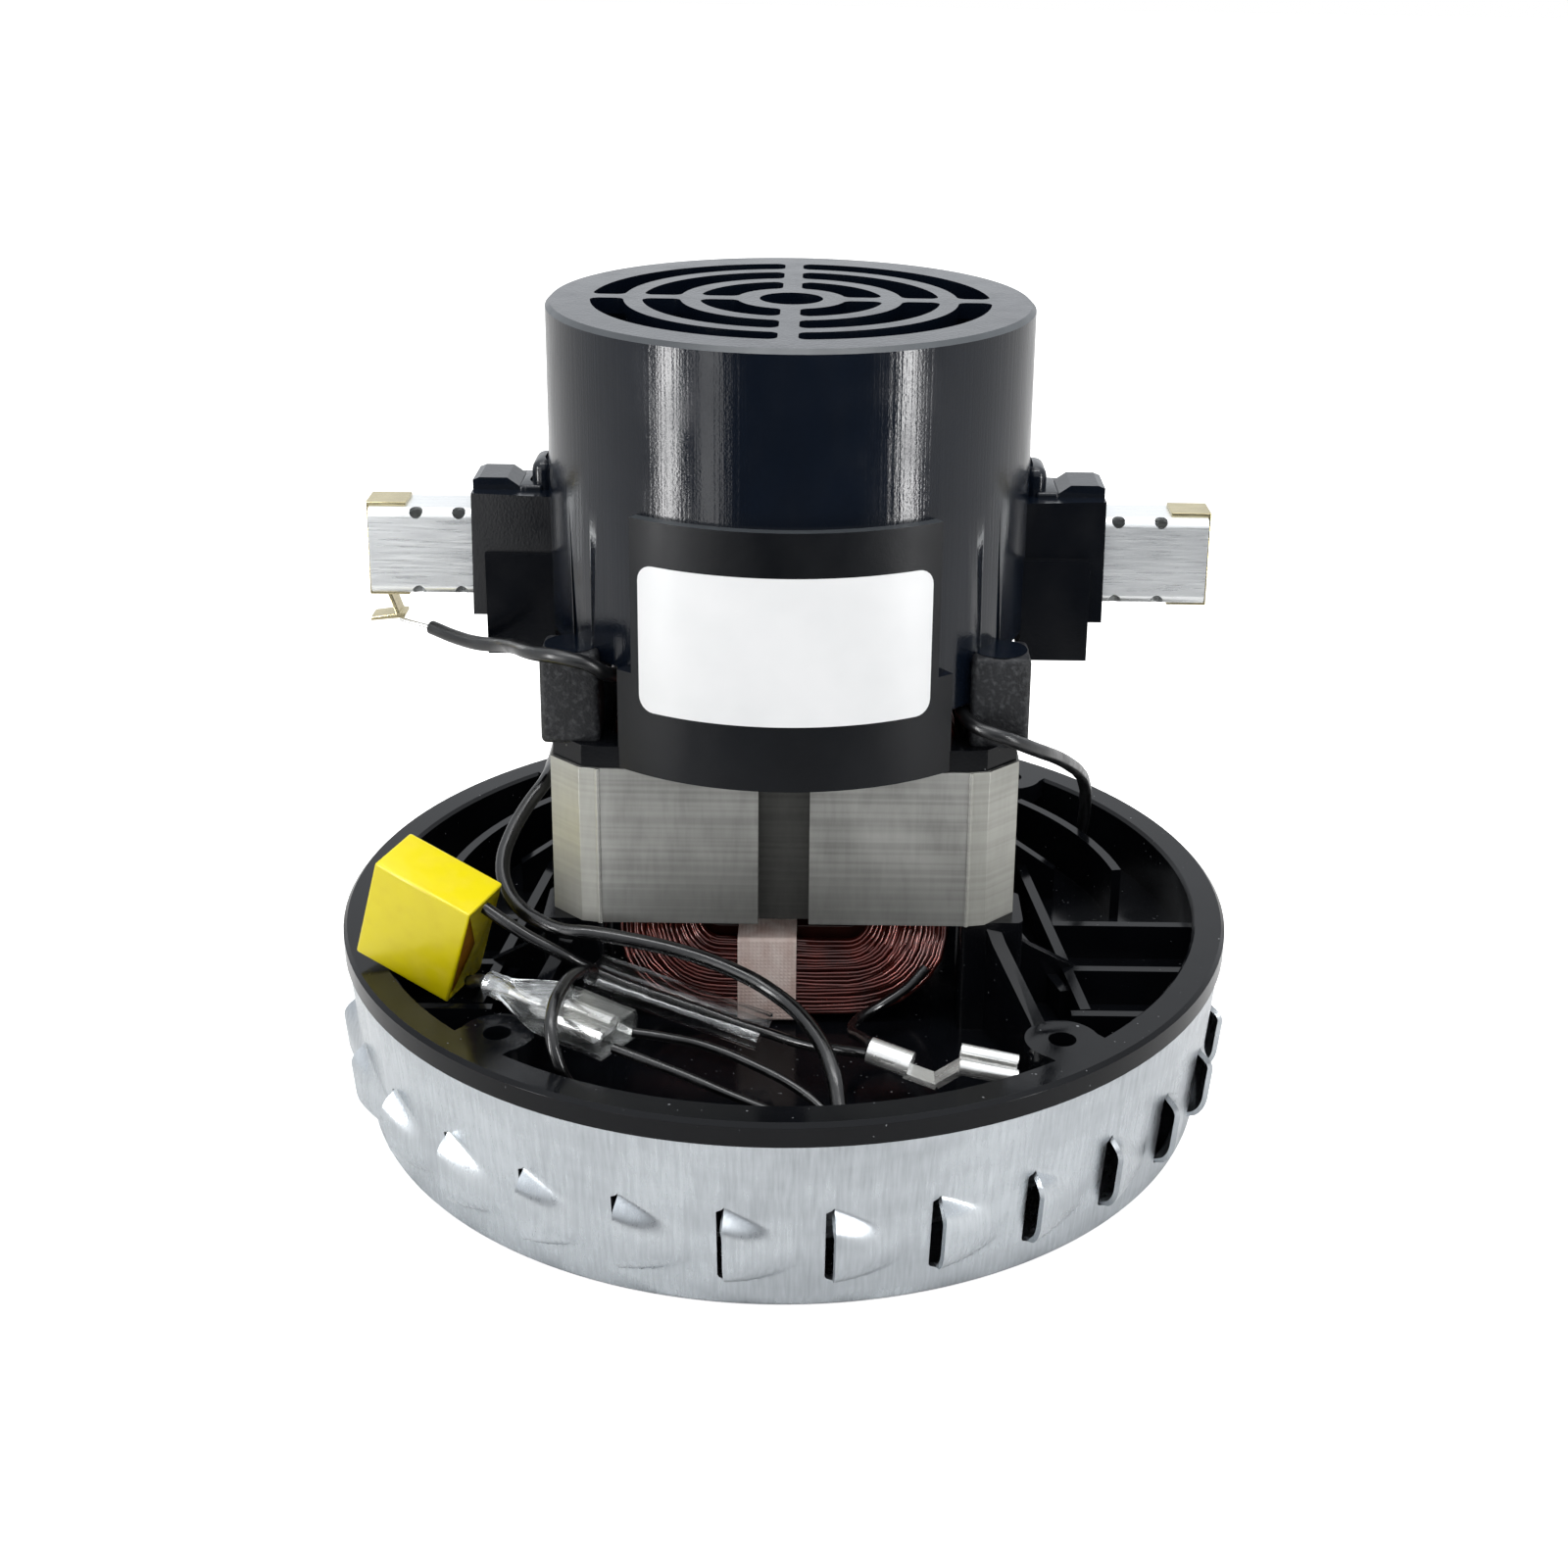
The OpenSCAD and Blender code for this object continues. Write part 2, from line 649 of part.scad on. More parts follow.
module pad() {
    skirt_z = housing_low - 6;
    low_z = stator_top + tongue_low;
    ring_part(housing_low_r, skirt_in_r, skirt_z, housing_low + 0.5, -131.5, -38);
    ring_part(pad_r, housing_r - 0.5, skirt_z, pad_top, -125, -55);
    difference() {
        ring_part(pad_r, skirt_in_r, low_z, housing_low + 0.5, -129.1, -50.9);
        translate([-half_w, -half_d - slide, low_z - cut])
            cube([stator_w, half_d, plate_top + 0.2 - low_z + cut]);
    }
}

module brush_block() {
    z_low = brush_z - tube_h / 2;
    mid_y = tube_w / 2 + 3.2;
    difference() {
        union() {
            translate([housing_in_r + 0.5, -mid_y, z_low - 2])
                cube([block_end_x - housing_in_r - 0.5, 2 * mid_y, tube_h + 5.2]);
            translate([housing_in_r + 1, -mid_y - 1, z_low - 8])
                cube([block_end_x - 2.2 - housing_in_r - 1, 2 * mid_y + 2, 16.2]);
            along_y(-5, 5) polygon([[40.8, z_low + tube_h + 3], [41, z_low + tube_h + 4.6],
                [42.3, z_low + tube_h + 7], [block_end_x - 1, z_low + tube_h + 7],
                [block_end_x, z_low + tube_h + 6.2], [block_end_x, z_low + tube_h + 3]]);
            along_y(-1.1, 1.1) polygon([[housing_in_r + 1, z_low + tube_h + 2], [42, z_low + tube_h + 2],
                [39.3, z_low + tube_h + 4.8], [37.2, z_low + tube_h + 8.7],
                [housing_in_r + 1, z_low + tube_h + 9.3]]);
        }
        translate([0, 0, brush_z]) along_x(housing_in_r - cut, block_end_x + cut)
            round_rect(tube_w + 2 * press, tube_h + 2 * press, 1.6);
    }
}

module upper_housing() {
    color("#17191c") difference() {
        union() {
            rotate_extrude() polygon(housing_profile());
            pad();
            rotate([0, 0, 180]) pad();
            brush_block();
            mirror([1, 0, 0]) brush_block();
            four_corners(screw_x, screw_y) {
                translate([0, 0, plate_top]) cylinder(r = post_r, h = post_h + ear_h);
                translate([0, 0, housing_low - 0.5]) cylinder(r = post_r + 0.4, h = ear_h);
            }
            for (a = [ear_angle, 180 - ear_angle], m = [0, 1]) rotate([0, 0, a]) mirror([m, 0, 0])
                translate([ear_from, 1 - post_r, housing_low + 0.1])
                    cube([ear_reach - ear_from, 2 * post_r - 2, ear_h - 0.4]);
            for (p = [[-18.9, -9.6], [24.2, -11.5]]) translate([p[0], p[1], housing_top - 0.5])
                cylinder(r = 1, h = 1, $fn = 24);
        }
        grille();
        for (m = [0, 1]) mirror([m, 0, 0]) translate([0, 0, brush_z]) along_x(housing_in_r - 3, housing_r + 2)
            round_rect(tube_w + 2 * press, tube_h + 2 * press, 1.6);
        translate([0, 0, housing_low - 2]) cylinder(r = housing_in_r, h = bracket_top - housing_low + 2);
        four_corners(screw_x, screw_y) translate([0, 0, plate_top - cut])
            cylinder(r = screw_r + press, h = post_h - 2 + cut);
    }
}

// Spider that carries the upper bearing, seated against the ledge in the housing
upper_bearing_z = bracket_top - bearing_h - 0.5;

module upper_bearing_bracket() {
    cup_low = upper_bearing_z - 1.4;
    color("#24272b") {
        rotate_extrude() polygon([[bearing_r + 2, cup_low], [bearing_r + 2, bracket_top],
            [bearing_r, bracket_top], [bearing_r, upper_bearing_z], [7.6, upper_bearing_z], [7.6, cup_low]]);
        ring(housing_in_r - fit, housing_in_r - 3.2, bracket_top - 3, bracket_top);
        for (a = [45:90:315]) rotate([0, 0, a]) translate([bearing_r + 1.5, -2.5, bracket_top - 3.6])
            cube([housing_in_r - 2 - bearing_r - 1.5, 5, 3.6]);
    }
}

// Ball bearings
race_r = bearing_r * 0.68;
ball_r = 1.95;
ball_count = 7;

module bearing_ring(r_in, r_out, z) {
    rotate_extrude() difference() {
        translate([r_in, z]) square([r_out - r_in, bearing_h]);
        translate([race_r, z + bearing_h / 2]) circle(ball_r + press, $fn = 32);
    }
}

module bearing_balls(z) {
    translate([0, 0, z + bearing_h / 2]) {
        for (k = [0:ball_count - 1]) rotate([0, 0, 360 * k / ball_count])
            translate([race_r, 0, 0]) sphere(ball_r, $fn = 32);
        ring(race_r + 0.5, race_r - 0.5, -0.6, 0.6);
    }
}

module lower_bearing_outer() {
    color("#b9bdc2") bearing_ring(race_r + 1.4, bearing_r, lower_bearing_z);
}

module lower_bearing_balls() {
    color("#d5d8db") bearing_balls(lower_bearing_z);
}

module lower_bearing_inner() {
    color("#b9bdc2") bearing_ring(shaft_r, race_r - 1.4, lower_bearing_z);
}

module upper_bearing_outer() {
    color("#b9bdc2") bearing_ring(race_r + 1.4, bearing_r, upper_bearing_z);
}

module upper_bearing_balls() {
    color("#d5d8db") bearing_balls(upper_bearing_z);
}

module upper_bearing_inner() {
    color("#b9bdc2") bearing_ring(shaft_r, race_r - 1.4, upper_bearing_z);
}

// Rotor
plate_z = deck_low - 1.4;
washer_t = 1.2;
nut_h = 5;
shaft_low = plate_z - 1 - washer_t - nut_h - 2;
fan_r = bearing_seat_r - fan_gap;
fan_low = bracket_top + 2.5;
fan_top = fan_low + 9.5;
shaft_top = fan_top + 1.5;
core_low = stator_low + 0.5;
core_top = stator_top - 0.5;
bars_low = brush_z - 7.5;
bars_top = brush_z + 7.5;

module rotor_shaft() {
    color("#c3c6c9") translate([0, 0, shaft_low]) {
        cylinder(r = shaft_r, h = shaft_top - shaft_low - 0.6);
        translate([0, 0, shaft_top - shaft_low - 0.6]) cylinder(r1 = shaft_r, r2 = shaft_r - 0.6, h = 0.6);
    }
}

module rotor_core() {
    slot_r = 2.3;
    color("#8f8e89") translate([0, 0, core_low]) linear_extrude(core_top - core_low) difference() {
        circle(armature_r);
        circle(shaft_r);
        for (k = [0:slot_count - 1]) rotate([0, 0, 360 * k / slot_count]) {
            translate([armature_r - 4.6, 0]) circle(slot_r, $fn = 32);
            translate([armature_r - 4.6, -0.8]) square([6, 1.6]);
        }
    }
}

module rotor_windings() {
    top = bars_low - 1.2;
    color("#93492a") {
        rotate_extrude() polygon(concat([[shaft_r + 0.6, core_low - 0.1], [shaft_r + 0.6, core_low - 6]],
            arc(armature_r - 4.5, core_low - 4, 3, -90, 0), [[armature_r - 1.5, core_low - 0.1]]));
        rotate_extrude() polygon(concat([[shaft_r + 0.6, top], [shaft_r + 0.6, core_top + 0.1],
            [armature_r - 1.5, core_top + 0.1]], arc(armature_r - 4.5, core_top + 4, 3, 0, 90),
            [[8.6, core_top + 8.5], [8.6, top]]));
        for (k = [0:slot_count - 1]) rotate([0, 0, 360 * k / slot_count])
            translate([armature_r - 4.6, 0, core_low - 1])
                cylinder(r = 2, h = core_top - core_low + 2, $fn = 24);
    }
}

module commutator_hub() {
    color("#3a2c22") ring(7.2, shaft_r, bars_low - 1, bars_top + 0.8);
}

module commutator_bars() {
    gap = 0.5;
    hook = 1.8;
    color("#c27a4a") for (k = [0:bar_count - 1]) rotate([0, 0, 360 * k / bar_count]) {
        half = 180 / bar_count - asin(gap / 2 / commutator_r);
        translate([0, 0, bars_low]) linear_extrude(bars_top - bars_low) intersection() {
            difference() {
                circle(commutator_r);
                circle(7.2);
            }
            wedge(2 * commutator_r, -half, half);
        }
        translate([commutator_r - 0.6, -0.6, bars_low]) cube([1.4, 1.2, hook - 0.6]);
    }
}

module blade(r_in, r_out, bend, t) {
    intersection() {
        difference() {
            circle(r_out);
            circle(r_in);
        }
        translate([bend * 0.55, bend * 0.84]) difference() {
            circle(bend + t / 2);
            circle(bend - t / 2);
        }
        translate([0, -r_out]) square([r_out, 2 * r_out]);
    }
}

module cooling_fan() {
    color("#2b2e33") {
        ring(7.4, shaft_r, fan_low - 0.8, fan_top);
        ring(fan_r, 7, fan_low, fan_low + 1.4);
        translate([0, 0, fan_low + 1]) linear_extrude(fan_top - fan_low - 1)
            for (k = [0:fan_blade_count - 1]) rotate([0, 0, 360 * k / fan_blade_count])
                translate([9, -0.7]) square([fan_r - 9.4, 1.4]);
    }
}

module impeller() {
    shroud_low = inlet_lip_h + 1.5;
    eye_r = inlet_r - 1.5;
    color("#b4b8bc") {
        ring(impeller_r, shaft_r, plate_z - 1, plate_z);
        rotate_extrude() translate([eye_r, shroud_low]) square([impeller_r - eye_r, 0.8]);
        translate([0, 0, shroud_low + 0.4]) linear_extrude(plate_z - shroud_low - 1)
            for (k = [0:blade_count - 1]) rotate([0, 0, 360 * k / blade_count])
                blade(eye_r + 1.5, impeller_r - 1, impeller_r * 0.62, 1);
    }
}

module impeller_spacer() {
    color("#a8acb0") ring(6.2, shaft_r, plate_z, lower_bearing_z);
}

module impeller_washer() {
    color("#9fa3a7") ring(12, shaft_r, plate_z - 1 - washer_t, plate_z - 1);
}

module impeller_nut() {
    color("#c9ccd0") translate([0, 0, plate_z - 1 - washer_t - nut_h]) difference() {
        cylinder(r = 7.5, h = nut_h, $fn = 6);
        translate([0, 0, -cut]) cylinder(r = shaft_r, h = nut_h + 2 * cut);
    }
}

// Brush gear, drawn for the right-hand side
tube_round = 1.5;

module brush_tube() {
    color("#b7bcc0") translate([0, 0, brush_z]) difference() {
        along_x(tube_start_x, tube_end_x) difference() {
            round_rect(tube_w, tube_h, tube_round);
            round_rect(tube_w - 2 * tube_wall, tube_h - 2 * tube_wall, tube_round - tube_wall);
        }
        for (x = [50.9, 57.5], sy = [-1, 1], sz = [-1, 1])
            translate([x, sy * (tube_w / 2 - 0.5), sz * (tube_h / 2 - 0.5)]) rotate([-45 * sy * sz, 0, 0])
                cylinder(r = 1.05, h = 3, center = true, $fn = 24);
    }
}

module brush_tube_right() {
    brush_tube();
}

module brush_tube_left() {
    mirror([1, 0, 0]) brush_tube();
}

module brush_clip() {
    half = tube_h / 2;
    tab_w = 6;
    color("#c9b98a") translate([0, 0, brush_z]) along_y(-tab_w / 2, tab_w / 2) polygon([
        [tube_end_x - 5.6, half], [tube_end_x, half], [tube_end_x, -half], [tube_end_x - 5.6, -half],
        [tube_end_x - 5.6, -half - clip_t], [tube_end_x + clip_t, -half - clip_t],
        [tube_end_x + clip_t, half + clip_t], [tube_end_x - 5.6, half + clip_t]]);
}

module clip_foot() {
    low = brush_z - tube_h / 2 - clip_t;
    color("#c9b98a") along_y(-2, 2) polygon([[tube_end_x - 2.4, low], [tube_end_x - 1.8, low],
        [tube_end_x - 3, low - 3.6], [tube_end_x + 1, low - 4.2], [tube_end_x + 1, low - 4.8],
        [tube_end_x - 4.4, low - 4.2], [tube_end_x - 4.4, low - 3.6], [tube_end_x - 3.6, low - 3.6]]);
}

module brush_clip_right() {
    brush_clip();
}

module brush_clip_left() {
    mirror([1, 0, 0]) {
        brush_clip();
        clip_foot();
    }
}

brush_start = commutator_r + 0.06;
brush_end = brush_start + brush_len;
brush_w = tube_w - 2 * tube_wall - 2 * slide;
brush_h = tube_h - 2 * tube_wall - 2 * slide;

module carbon_brush() {
    color("#33312f") difference() {
        union() {
            translate([0, 0, brush_z]) along_x(brush_start - 2, brush_end)
                round_rect(brush_w, brush_h, tube_round - tube_wall - slide);
            translate([brush_end, 0, brush_z]) rotate([0, 90, 0]) cylinder(r = 2.1, h = 1.6, $fn = 24);
        }
        translate([0, 0, brush_z - brush_h]) cylinder(r = brush_start, h = 2 * brush_h);
    }
}

module carbon_brush_right() {
    carbon_brush();
}

module carbon_brush_left() {
    mirror([1, 0, 0]) carbon_brush();
}

spring_turns = 9;
spring_wire_r = 0.4;
spring_r = 3.1;

module brush_spring() {
    x0 = brush_end + spring_wire_r + 0.05;
    x1 = tube_end_x - spring_wire_r - 0.05;
    color("#9aa0a5") translate([0, 0, brush_z]) tube([for (i = [0:8 * spring_turns])
        let (a = 45 * i) [x0 + (x1 - x0) * i / 8 / spring_turns, spring_r * cos(a), spring_r * sin(a)]],
        spring_wire_r, 6, [1, 0, 0]);
}

module brush_spring_right() {
    brush_spring();
}

module brush_spring_left() {
    mirror([1, 0, 0]) brush_spring();
}

// Wiring: routes of the leads as hand-laid points
cap_corner = [6.3 - rim_r, -27.6, rim_top + 2];
cap_turn = [7.4, 19.3, -21.6];
cap_wall = 0.8;
main_route = [[-15, 29.4, 33.5], [-19, 32, 37.5], [-25, 35.4, 41.5], [-32, 35.8, 44], [-38, 30.5, 47],
    [-39, 20, 50.5], [-38.4, 10, 52.8], [-38, 0, 54], [-38.4, -8, 54], [-41, -12, 51.2],
    [-42.9, -16, 48.3], [-43.7, -20, 45.5], [-42.7, -23.8, 43.1], [-40.2, -27.2, 41.3],
    [-37, -29.9, 40.5], [-33.4, -31.9, 40], [-29, -32.7, 40], [-23.4, -33.4, 39.4],
    [-15.9, -34.8, 38.4], [-8.5, -37.2, 37], [-1.1, -41.2, 34.9], [4.8, -48.2, 32.6],
    [7.7, -54.6, 29.6], [8.6, -58.8, 26.3]];
cap_route = [[-44.6, -33.1, 44.3], [-41.2, -34.3, 42.4], [-37.5, -35.1, 40.3], [-33, -35.4, 37.9],
    [-29.6, -34.9, 35.5], [-25, -35.3, 33.5], [-20, -36.7, 32.3]];
splice_route = [[-20, -36.7, 32.3], [-17.5, -37.3, 31.8], [-15, -38, 31.2], [-12, -38.8, 30.6],
    [-9, -39.7, 29.9], [-5.5, -40.7, 29.1], [-2, -41.7, 28.5], [0.5, -42.9, 28.3], [3, -44.3, 28.3],
    [5.5, -45.6, 28.5], [8, -46.8, 28.9], [9.2, -47.4, 29.05], [10.4, -47.9, 29.2], [11.5, -48.5, 29.35],
    [12.6, -49, 29.5]];
tail_route = [[-47.8, -29.8, 30.1], [-47.2, -31.4, 30.8], [-46.4, -34, 32.4], [-45.2, -37, 34.2],
    [-43.9, -39.2, 35.1]];
jumper_route = [[-28.1, -37.6, 36.1], [-29.2, -40, 37.5], [-30.8, -44.5, 38.7], [-31.6, -48, 38.8],
    [-32.2, -51.6, 38.2], [-32.2, -55.4, 36], [-31.2, -57.4, 32.8], [-29.6, -57.4, 29], [-26.6, -57.2, 25.4],
    [-21.5, -57.8, 23.5],
    [-13, -60.3, 23.2], [-3, -62.6, 23.2], [4, -63, 23.5], [7.4, -62.3, 24.4]];
thin_route_a = [[-21.2, -51.3, 33.9], [-16, -51, 32.9], [-10.8, -50.6, 31.4], [-3, -53, 29.4],
    [3.4, -56, 27.2], [7.3, -58.9, 25.2]];
thin_route_b = [[-23.6, -55.2, 33.6], [-18, -56.9, 32.3], [-12, -58.4, 30.6], [-6, -59.8, 28.6],
    [0, -60.6, 26.6], [7.3, -60.8, 24.9]];
supply_route = [[22, -29.1, 33], [19, -30.2, 30], [15, -32, 28], [11.5, -35.5, 27.4], [10.6, -40, 28],
    [12, -44, 29.2], [13.2, -47.2, 30]];
brush_route_left = [[-25.2, -18.5, 77.6], [-25.2, -24, 78.4], [-26.5, -28, 80.1], [-28.6, -30.2, 82.2],
    [-32, -30.4, 83.2], [-36.8, -27.4, 82.8], [-40.5, -20.5, 81.2], [-43.5, -14.6, 79.4],
    [-47.5, -11, 78.3], [-51.5, -7.6, 78], [-55.9, -4.2, 78.4]];
brush_route_right = [[26.3, -20.6, 73.4], [26.6, -25.4, 73.2], [28.7, -29.4, 72.7], [32, -30.4, 71.8],
    [36.4, -27.6, 69], [41.5, -18, 63.5], [45.5, -6, 57], [48.5, 8, 50], [51, 20, 43.2], [52.4, 27, 37],
    [52.4, 30, 29.5], [50.5, 30, 23.6]];

module lead(route, d, tint = "#17181a") {
    color(tint) tube(route, d / 2, 8);
}

module aim(a, b) {
    d = b - a;
    translate(a) rotate([0, -asin(d[2] / norm(d)), atan2(d[1], d[0])]) children();
}

module capacitor_place() {
    translate(cap_corner) rotate(cap_turn) children();
}

module capacitor_case() {
    color("#f2d500") capacitor_place() difference() {
        cube([cap_len, cap_t, cap_h]);
        translate([cap_wall, cap_wall, cap_wall])
            cube([cap_len, cap_t - 2 * cap_wall, cap_h - 2 * cap_wall]);
    }
}

module capacitor_potting() {
    color("#b9851c") capacitor_place() translate([cap_wall, cap_wall, cap_wall])
        cube([cap_len - cap_wall - 0.4, cap_t - 2 * cap_wall, cap_h - 2 * cap_wall]);
}

module capacitor_lead() {
    lead(cap_route, jumper_d);
    color("#c9ccd0") capacitor_place()
        translate([cap_len - 0.4, cap_t / 2, (cap_h + cap_pitch) / 2]) rotate([0, 90, 0])
            cylinder(r = 0.4, h = 0.9, $fn = 16);
}

module capacitor_tail() {
    lead(tail_route, 2.2, "#c9ccd0");
    color("#c9ccd0") capacitor_place()
        translate([cap_len - 0.4, cap_t / 2, (cap_h - cap_pitch) / 2]) rotate([0, 90, 0])
            cylinder(r = 0.4, h = 1.8, $fn = 16);
}

module main_lead() {
    lead(main_route, main_lead_d);
}

// Crimped joint at the front of the tray
joint_at = [7.6, -60.2, 24.2];

module joint_terminal() {
    color("#c9ccd0") translate(joint_at) {
        rotate([0, 90, 0]) cylinder(r = 1.7, h = 5);
        translate([4.6, -1.2, -0.4]) cube([2, 2.4, 0.8]);
        translate([6, -3.1, -0.4]) cube([7, 6.2, 0.8]);
    }
}

module jumper_lead() {
    lead(jumper_route, jumper_d);
}

module thin_leads() {
    lead(thin_route_a, thin_lead_d);
    lead(thin_route_b, thin_lead_d);
}

module supply_lead() {
    lead(supply_route, thin_lead_d + 0.2);
}

module splice_lead() {
    lead(splice_route, thin_lead_d + 0.2);
}

// Push-on receptacle: a crimp barrel, a neck and rolled edges
module receptacle(len, w) {
    along_x(0, len) {
        translate([-w / 2 + 0.6, -1.1]) square([w - 1.2, 0.7]);
        for (m = [0, 1]) mirror([m, 0]) difference() {
            translate([w / 2 - 1.2, 0]) circle(1.15, $fn = 24);
            translate([w / 2 - 1.25, 0]) circle(0.5, $fn = 24);
            translate([0, -0.3]) square([w / 2 - 1.2, 0.6]);
        }
    }
}

module supply_terminal() {
    color("#d7d8d6") {
        aim([13, -48.6, 29.9], [22.6, -52, 28]) {
            rotate([0, 90, 0]) cylinder(r = 1.9, h = 6.5);
            translate([6, -1.5, -1.6]) cube([5, 3, 0.9]);
        }
        aim([22.6, -52, 27.6], [26.5, -51.6, 30]) translate([-0.5, -1.5, -1]) cube([5, 3, 0.9]);
        aim([26, -51.6, 30.4], [34.6, -52.4, 29]) receptacle(8.4, 6.6);
    }
}

boot_from = [-43.7, -39.4, 35.3];
boot_to = [-22.9, -53.1, 34.4];
boot_len = norm(boot_to - boot_from);

module boot_form(inset) {
    hull() {
        translate([12, -4 + inset, -2.3 + inset])
            cube([boot_len - 12 + inset, 8 - 2 * inset, 4.6 - 2 * inset]);
        translate([13, -4.3 + inset, -1.3 + inset])
            cube([boot_len - 13 + inset, 8.6 - 2 * inset, 2.6 - 2 * inset]);
        translate([4 + inset, 0, 0]) rotate([0, 90, 0]) cylinder(r = 1.8 - inset, h = 2, $fn = 16);
    }
    translate([0.6 + inset, 0, 0]) rotate([0, 90, 0]) cylinder(r = 1.8 - inset, h = 4, $fn = 24);
}

module terminal_boot() {
    color([0.85, 0.88, 0.88, 0.5]) aim(boot_from, boot_to) difference() {
        boot_form(0);
        boot_form(0.4);
    }
}

module booted_terminal() {
    color("#d7d8d6") aim(boot_from, boot_to) {
        translate([5, 0, 0]) rotate([0, 90, 0]) cylinder(r = 0.9, h = 6, $fn = 24);
        translate([10.8, -0.8, -0.45]) cube([3.4, 1.6, 0.9]);
        translate([14, 0, 0.1]) receptacle(8.5, 6.4);
    }
}

sleeve_from = [-28.4, -34.4, 34.4];
sleeve_to = [-2.6, -41.5, 28.6];

module clear_sleeve() {
    sleeve_len = norm(sleeve_to - sleeve_from);
    color([0.85, 0.88, 0.88, 0.4]) aim(sleeve_from, sleeve_to) along_x(0, sleeve_len) difference() {
        round_rect(8, 3, 1.2);
        round_rect(7.4, 2.4, 0.9);
    }
}

module brush_lead_left() {
    lead(brush_route_left, brush_lead_d);
    color("#c9ccd0") aim([-55.9, -4.2, 78.4], [-61.2, -1.8, 78.9]) translate([-1, 0, 0]) rotate([0, 90, 0])
        cylinder(r = 0.35, h = 6.3, $fn = 16);
}

module brush_lead_right() {
    lead(brush_route_right, brush_lead_d);
}

fan_shell();
motor_bracket();
upper_housing();
upper_bearing_bracket();
stator_core();
stator_end_plate();
field_coil_front();
field_coil_back();
field_winding_front();
field_winding_back();
coil_tape();
stator_screws();
brush_tube_left();
brush_tube_right();
brush_clip_left();
brush_clip_right();
carbon_brush_left();
carbon_brush_right();
brush_spring_left();
brush_spring_right();
lower_bearing_outer();
lower_bearing_balls();
lower_bearing_inner();
upper_bearing_outer();
upper_bearing_balls();
upper_bearing_inner();
rotor_shaft();
rotor_core();
rotor_windings();
commutator_hub();
commutator_bars();
cooling_fan();
impeller();
impeller_spacer();
impeller_washer();
impeller_nut();
capacitor_case();
capacitor_potting();
capacitor_lead();
capacitor_tail();
main_lead();
joint_terminal();
jumper_lead();
thin_leads();
supply_lead();
splice_lead();
supply_terminal();
terminal_boot();
booted_terminal();
clear_sleeve();
brush_lead_left();
brush_lead_right();
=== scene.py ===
"""Looks of the suction motor unit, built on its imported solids.

Lengths in the dataclasses are millimetres. Meshes are in metres, in the frame of the solids: +Z runs up
the motor axis, the brushes lie along X, and the side with the blank label and the leads faces -Y.
"""

import logging
import math
from contextlib import contextmanager
from dataclasses import dataclass
from enum import Enum
from typing import Callable, Iterator

import bpy
from mathutils import Matrix, Vector, noise


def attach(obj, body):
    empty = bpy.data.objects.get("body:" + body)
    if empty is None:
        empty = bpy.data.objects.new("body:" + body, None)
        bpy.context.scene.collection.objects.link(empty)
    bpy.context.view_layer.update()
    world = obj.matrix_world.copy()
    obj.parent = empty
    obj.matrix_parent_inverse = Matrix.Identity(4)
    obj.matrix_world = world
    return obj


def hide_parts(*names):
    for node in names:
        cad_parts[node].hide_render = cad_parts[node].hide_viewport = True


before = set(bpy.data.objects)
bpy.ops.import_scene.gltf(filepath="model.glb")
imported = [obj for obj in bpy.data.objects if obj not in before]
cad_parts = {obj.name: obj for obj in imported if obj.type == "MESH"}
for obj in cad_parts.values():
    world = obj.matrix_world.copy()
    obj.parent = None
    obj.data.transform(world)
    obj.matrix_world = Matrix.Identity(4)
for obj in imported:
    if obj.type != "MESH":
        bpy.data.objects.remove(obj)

LOG = logging.getLogger("motor_unit")
MM = 0.001
NOISE_SEED = 7
WAVE_PER_BAND = 0.31416  # scale of a wave texture that lays one band to the metre
Colour = tuple[float, float, float, float]
Point = tuple[float, float, float]
Tree = bpy.types.NodeTree
Socket = bpy.types.NodeSocket
Obj = bpy.types.Object
Face = bpy.types.MeshPolygon


class Body(str, Enum):
    """The rigid bodies that pieces ride on."""

    FRAME = "motor_frame"
    ROTOR = "rotor"
    LOWER_BALLS = "lower_balls"
    UPPER_BALLS = "upper_balls"
    BRUSH_LEFT = "brush_left"
    BRUSH_RIGHT = "brush_right"


def linear(hex_colour: str) -> Colour:
    """Turns an sRGB hex colour to the linear colour that Blender's sockets take.

    Args:
        hex_colour: The colour as "#rrggbb".

    Returns:
        Red, green, blue and an alpha of 1.
    """
    parts = [int(hex_colour[i : i + 2], 16) / 255 for i in (1, 3, 5)]
    r, g, b = (c / 12.92 if c <= 0.04045 else ((c + 0.055) / 1.055) ** 2.4 for c in parts)
    return (r, g, b, 1.0)


def add_node(
    tree: Tree, kind: str, settings: dict | None = None, inputs: dict | None = None
) -> bpy.types.Node:
    """Adds one shader node with its settings, values and links.

    Args:
        tree: The node tree that gets the node.
        kind: The node's type name.
        settings: The node's own properties.
        inputs: Socket names or numbers, each with a value or with the output socket that feeds it.

    Returns:
        The new node.
    """
    made = tree.nodes.new(kind)
    for key, value in (settings or {}).items():
        setattr(made, key, value)
    for key, value in (inputs or {}).items():
        socket = made.inputs[key]
        if isinstance(value, Socket):
            tree.links.new(value, socket)
        else:
            socket.default_value = value
    return made


def empty_tree(owner: bpy.types.Material | bpy.types.World) -> Tree:
    """Empties the node tree of a material or a world and returns it."""
    owner.use_nodes = True
    owner.node_tree.nodes.clear()
    return owner.node_tree


def maths(tree: Tree, operation: str, *values: float | Socket) -> Socket:
    """Adds one math node for numbers and sockets, and returns its result."""
    settings, inputs = {"operation": operation}, dict(enumerate(values))
    return add_node(tree, "ShaderNodeMath", settings, inputs).outputs["Value"]


# Finishes


